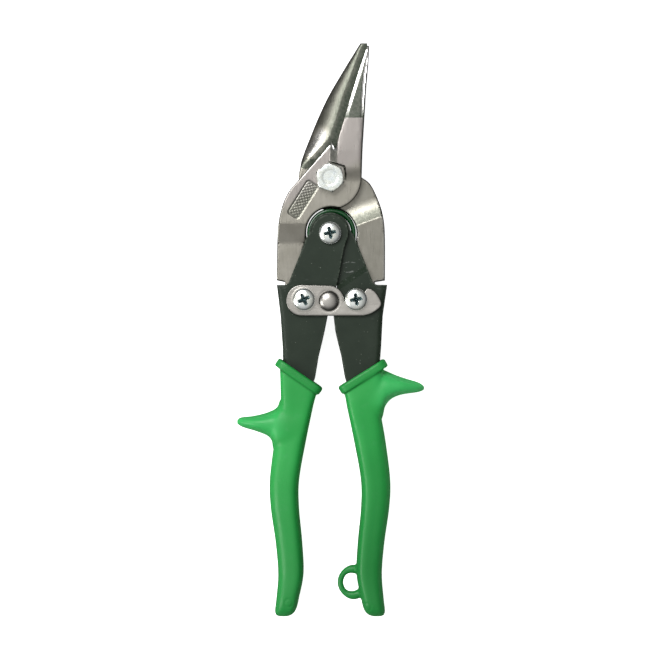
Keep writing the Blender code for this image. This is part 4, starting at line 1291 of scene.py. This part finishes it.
def grip(name, node, body, mouth, guard, edge, sign, mark, guard_light, loop=None):
    """A moulded grip: body, thumb guard, rolled collar and a pocket for the handle's tang."""
    shaft = loft("shaft", [oval(s, squareness(s[1]), lean(s[1]))
                           for s in smooth(mouth + GRIP_BODY, 6)])
    horn = loft("horn", [oval(s, GUARD_POWER, 0, 40) for s in smooth(guard, 6)])
    outer_x, outer_y, inner_x, inner_y, _ = mouth[0]
    slope = math.atan2(inner_y - outer_y, inner_x - outer_x)
    band = []
    for up, out, depth in COLLAR:
        shift_x, shift_y = -up * math.sin(slope), up * math.cos(slope)
        grow_x, grow_y = out * math.cos(slope), out * math.sin(slope)
        band.append(oval((outer_x + shift_x - grow_x, outer_y + shift_y - grow_y,
                          inner_x + shift_x + grow_x, inner_y + shift_y + grow_y, depth),
                         MOUTH_POWER))
    parts = [shaft, horn, loft("collar", band)]
    if loop:
        parts.append(wire("loop", loop, LOOP_WIRE, closed=True, swell=LOOP_SWELL))
    root = ((guard[2][0] + 1, (guard[2][1] + guard[2][3]) / 2), 6.0, 10.5)
    piece = melt(name, parts, sign, root)

    def above(x, y, gap):
        return CHANNEL_HALF + GAP - tang_taper(y) - rounding(gap, POCKET_ROUND)

    pocket = [(x - GAP, y) for x, y in edge + TANG_OUTER if y < POCKET_TOP]
    pocket = [(pocket[0][0], POCKET_TOP), *pocket, (pocket[-1][0], pocket[-1][1] - 1)]
    inner = [(x + GAP, y) for x, y in TANG_INNER + INNER_EDGE if y < POCKET_TOP]
    pocket += [(inner[0][0], inner[0][1] - 1), *inner, (inner[-1][0], POCKET_TOP)]
    pocket = pocket if sign > 0 else mirrored(pocket)
    cutter = relief("pocket", pocket, above, lambda x, y, gap: -above(x, y, gap),
                    rings=round_rings(POCKET_ROUND), spacing=3)
    boolean(piece, cutter, "DIFFERENCE")

    places = point_places(piece)
    dimple = mark_ring(places[:, 0] / MM, places[:, 1] / MM, mark) * (places[:, 2] > (MID + 4) * MM)
    places[:, 2] -= (0.15 * MM * dimple).astype(np.float32)
    piece.data.vertices.foreach_set("co", places.ravel())

    # painted shade: in the moulded ring, in the crease under the collar, on the collar's face,
    # towards the grip's end and over the right grip
    def painted_shade(x, y, z):
        below = (sign * x - outer_x) * math.sin(slope) - (y - outer_y) * math.cos(slope)
        crease = ease(below, 1.3, 1.8) * soft_fade(below, 2.0, 2.8) * (np.abs(z) > 7.5)
        # painted shade towards the grip's end, and over all of the right grip
        worn = 0.42 * ease(-y, 112.0, 176.0)
        worn = worn + (RIGHT_GRIP_SHADE if sign < 0 else 0.0) * ease(-y, 100.0, 130.0)
        rolled = 0.3 * (below < 1.3)
        ring = 0.2 * mark_ring(x, y, mark) * (z > 4)
        return np.maximum.reduce([ring, 0.6 * crease, worn, rolled])

    # painted light: the thumb guard paler where it faces the lamps
    def pale(x, y, z):
        strength, start, end, middle, half = guard_light
        return strength * ease(-sign * x, start, end) * ease(half - np.abs(y - middle), 0, 4)

    paint(piece, "painted_shade", painted_shade)
    paint(piece, "pale", pale)
    dress(piece, body, "green_vinyl", GREEN_VINYL, node)


# The lanyard loop, a little taller than it is wide and thicker towards the grip
LOOP = [(-9.9 + x, -174.4 + 1.05 * y, 0) for x, y in circle((0, 0), 5.4, 60)]
LOOP_SWELL = [0.92 + 0.45 * float(ease(-x, 5.5, 10.5)) for x, _, _ in LOOP]
grip("left_grip_moulding", "left_grip", "left_handle", LEFT_MOUTH, LEFT_GUARD, LEFT_EDGE, 1,
     (-17.7, -182.7), LEFT_GUARD_LIGHT)
grip("right_grip_moulding", "right_grip", "right_handle", RIGHT_MOUTH, RIGHT_GUARD, RIGHT_EDGE, -1,
     (15.9, -184.5), RIGHT_GUARD_LIGHT, LOOP)


# ---------------------------------------------------------------- small hardware kept from CAD

def keep(names, finish):
    """Give CAD nodes a finish and softly rounded edges."""
    for name in names:
        node = NODES[name]
        node.data.materials.clear()
        node.data.materials.append(finish)
        flats = node.modifiers.new("flats", "DECIMATE")
        flats.decimate_type = "DISSOLVE"
        flats.angle_limit = math.radians(1)
        soft = node.modifiers.new("soft_edges", "BEVEL")
        soft.width = 0.12 * MM
        soft.segments = 2
        soft.angle_limit = math.radians(25)


keep(("main_pivot_nut", "left_pivot_nut", "hub_nut", "catch_nut"), ZINC)
keep(("hub_bush", "left_front_washer", "left_rear_washer", "right_front_washer",
      "right_rear_washer"), PLAIN_STEEL)


# ---------------------------------------------------------------- floor, light and camera

def floor():
    """A pale, faintly mottled floor that glows a little, as a light table does."""
    size = 6.0
    mesh = bpy.data.meshes.new("floor")
    corners = [(-size, -size, 0), (size, -size, 0), (size, size, 0), (-size, size, 0)]
    mesh.from_pydata(corners, [], [(0, 1, 2, 3)])
    ground = linked("floor", mesh)
    pale = Finish("pale_floor", 0.0, 0.7)
    pale.colour(pale.mix(pale.spread(pale.noise(0.01, 3), 0.3, 0.7), (0.9, 0.9, 0.9),
                         (0.94, 0.94, 0.94)))
    pale.set(Emission_Color=(1, 1, 1, 1), Emission_Strength=0.88)
    mesh.materials.append(pale.material)
    ground.visible_glossy = False


def area_light(name, place, target, size, power):
    """A rectangular soft light aimed at a point."""
    lamp = bpy.data.lights.new(name, "AREA")
    lamp.shape = "RECTANGLE"
    lamp.size, lamp.size_y = size
    lamp.energy = power
    light = linked(name, lamp)
    light.location = place
    light.rotation_mode = "QUATERNION"
    light.rotation_quaternion = (Vector(target) - Vector(place)).to_track_quat("-Z", "Y")


def world():
    """A soft room: bright overhead, falling off towards the floor, and dimmer on the right."""
    room = bpy.data.worlds.new("room")
    bpy.context.scene.world = room
    room.use_nodes = True
    tree = room.node_tree
    place = tree.nodes.new("ShaderNodeTexCoord")
    parts = tree.nodes.new("ShaderNodeSeparateXYZ")
    shade = tree.nodes.new("ShaderNodeValToRGB")
    tree.links.new(place.outputs["Generated"], parts.inputs["Vector"])
    tree.links.new(parts.outputs["Z"], shade.inputs["Fac"])
    tree.links.new(shade.outputs["Color"], tree.nodes["Background"].inputs["Color"])
    side = tree.nodes.new("ShaderNodeMapRange")
    tree.links.new(parts.outputs["X"], side.inputs["Value"])
    for name, number in zip(("From Min", "From Max", "To Min", "To Max"), (-1, 1, 1.15, 0.5)):
        side.inputs[name].default_value = number
    tree.links.new(side.outputs["Result"], tree.nodes["Background"].inputs["Strength"])
    stops = [(0.0, 0.08), (0.34, 0.14), (0.64, 0.33), (0.85, 0.68), (0.95, 0.9), (1.0, 0.95)]
    ramp_stops = shade.color_ramp.elements
    while len(ramp_stops) < len(stops):
        ramp_stops.new(0.5)
    for stop, (position, level) in zip(ramp_stops, stops):
        stop.position = position
        stop.color = (level, level, level, 1)


def camera():
    """Looks straight down, so that the whole tool stands upright in a square picture."""
    distance_up = 1.25
    width = 0.2842                  # of what the picture shows at the tool's face
    face_height = 0.0145
    lens = bpy.data.cameras.new("camera")
    lens.sensor_width = 36
    lens.lens = lens.sensor_width * distance_up / width
    view = linked("camera", lens)
    view.location = (0.0, -0.0655, distance_up + face_height)
    bpy.context.scene.camera = view


floor()
world()
area_light("key", (-0.3, 0.42, 0.78), (0, -0.03, 0), (0.5, 0.5), 6.2)
area_light("side", (-1.05, -0.4, 0.7), (0, -0.06, 0), (0.6, 0.6), 8)
camera()
bpy.context.scene.view_settings.view_transform = "Standard"
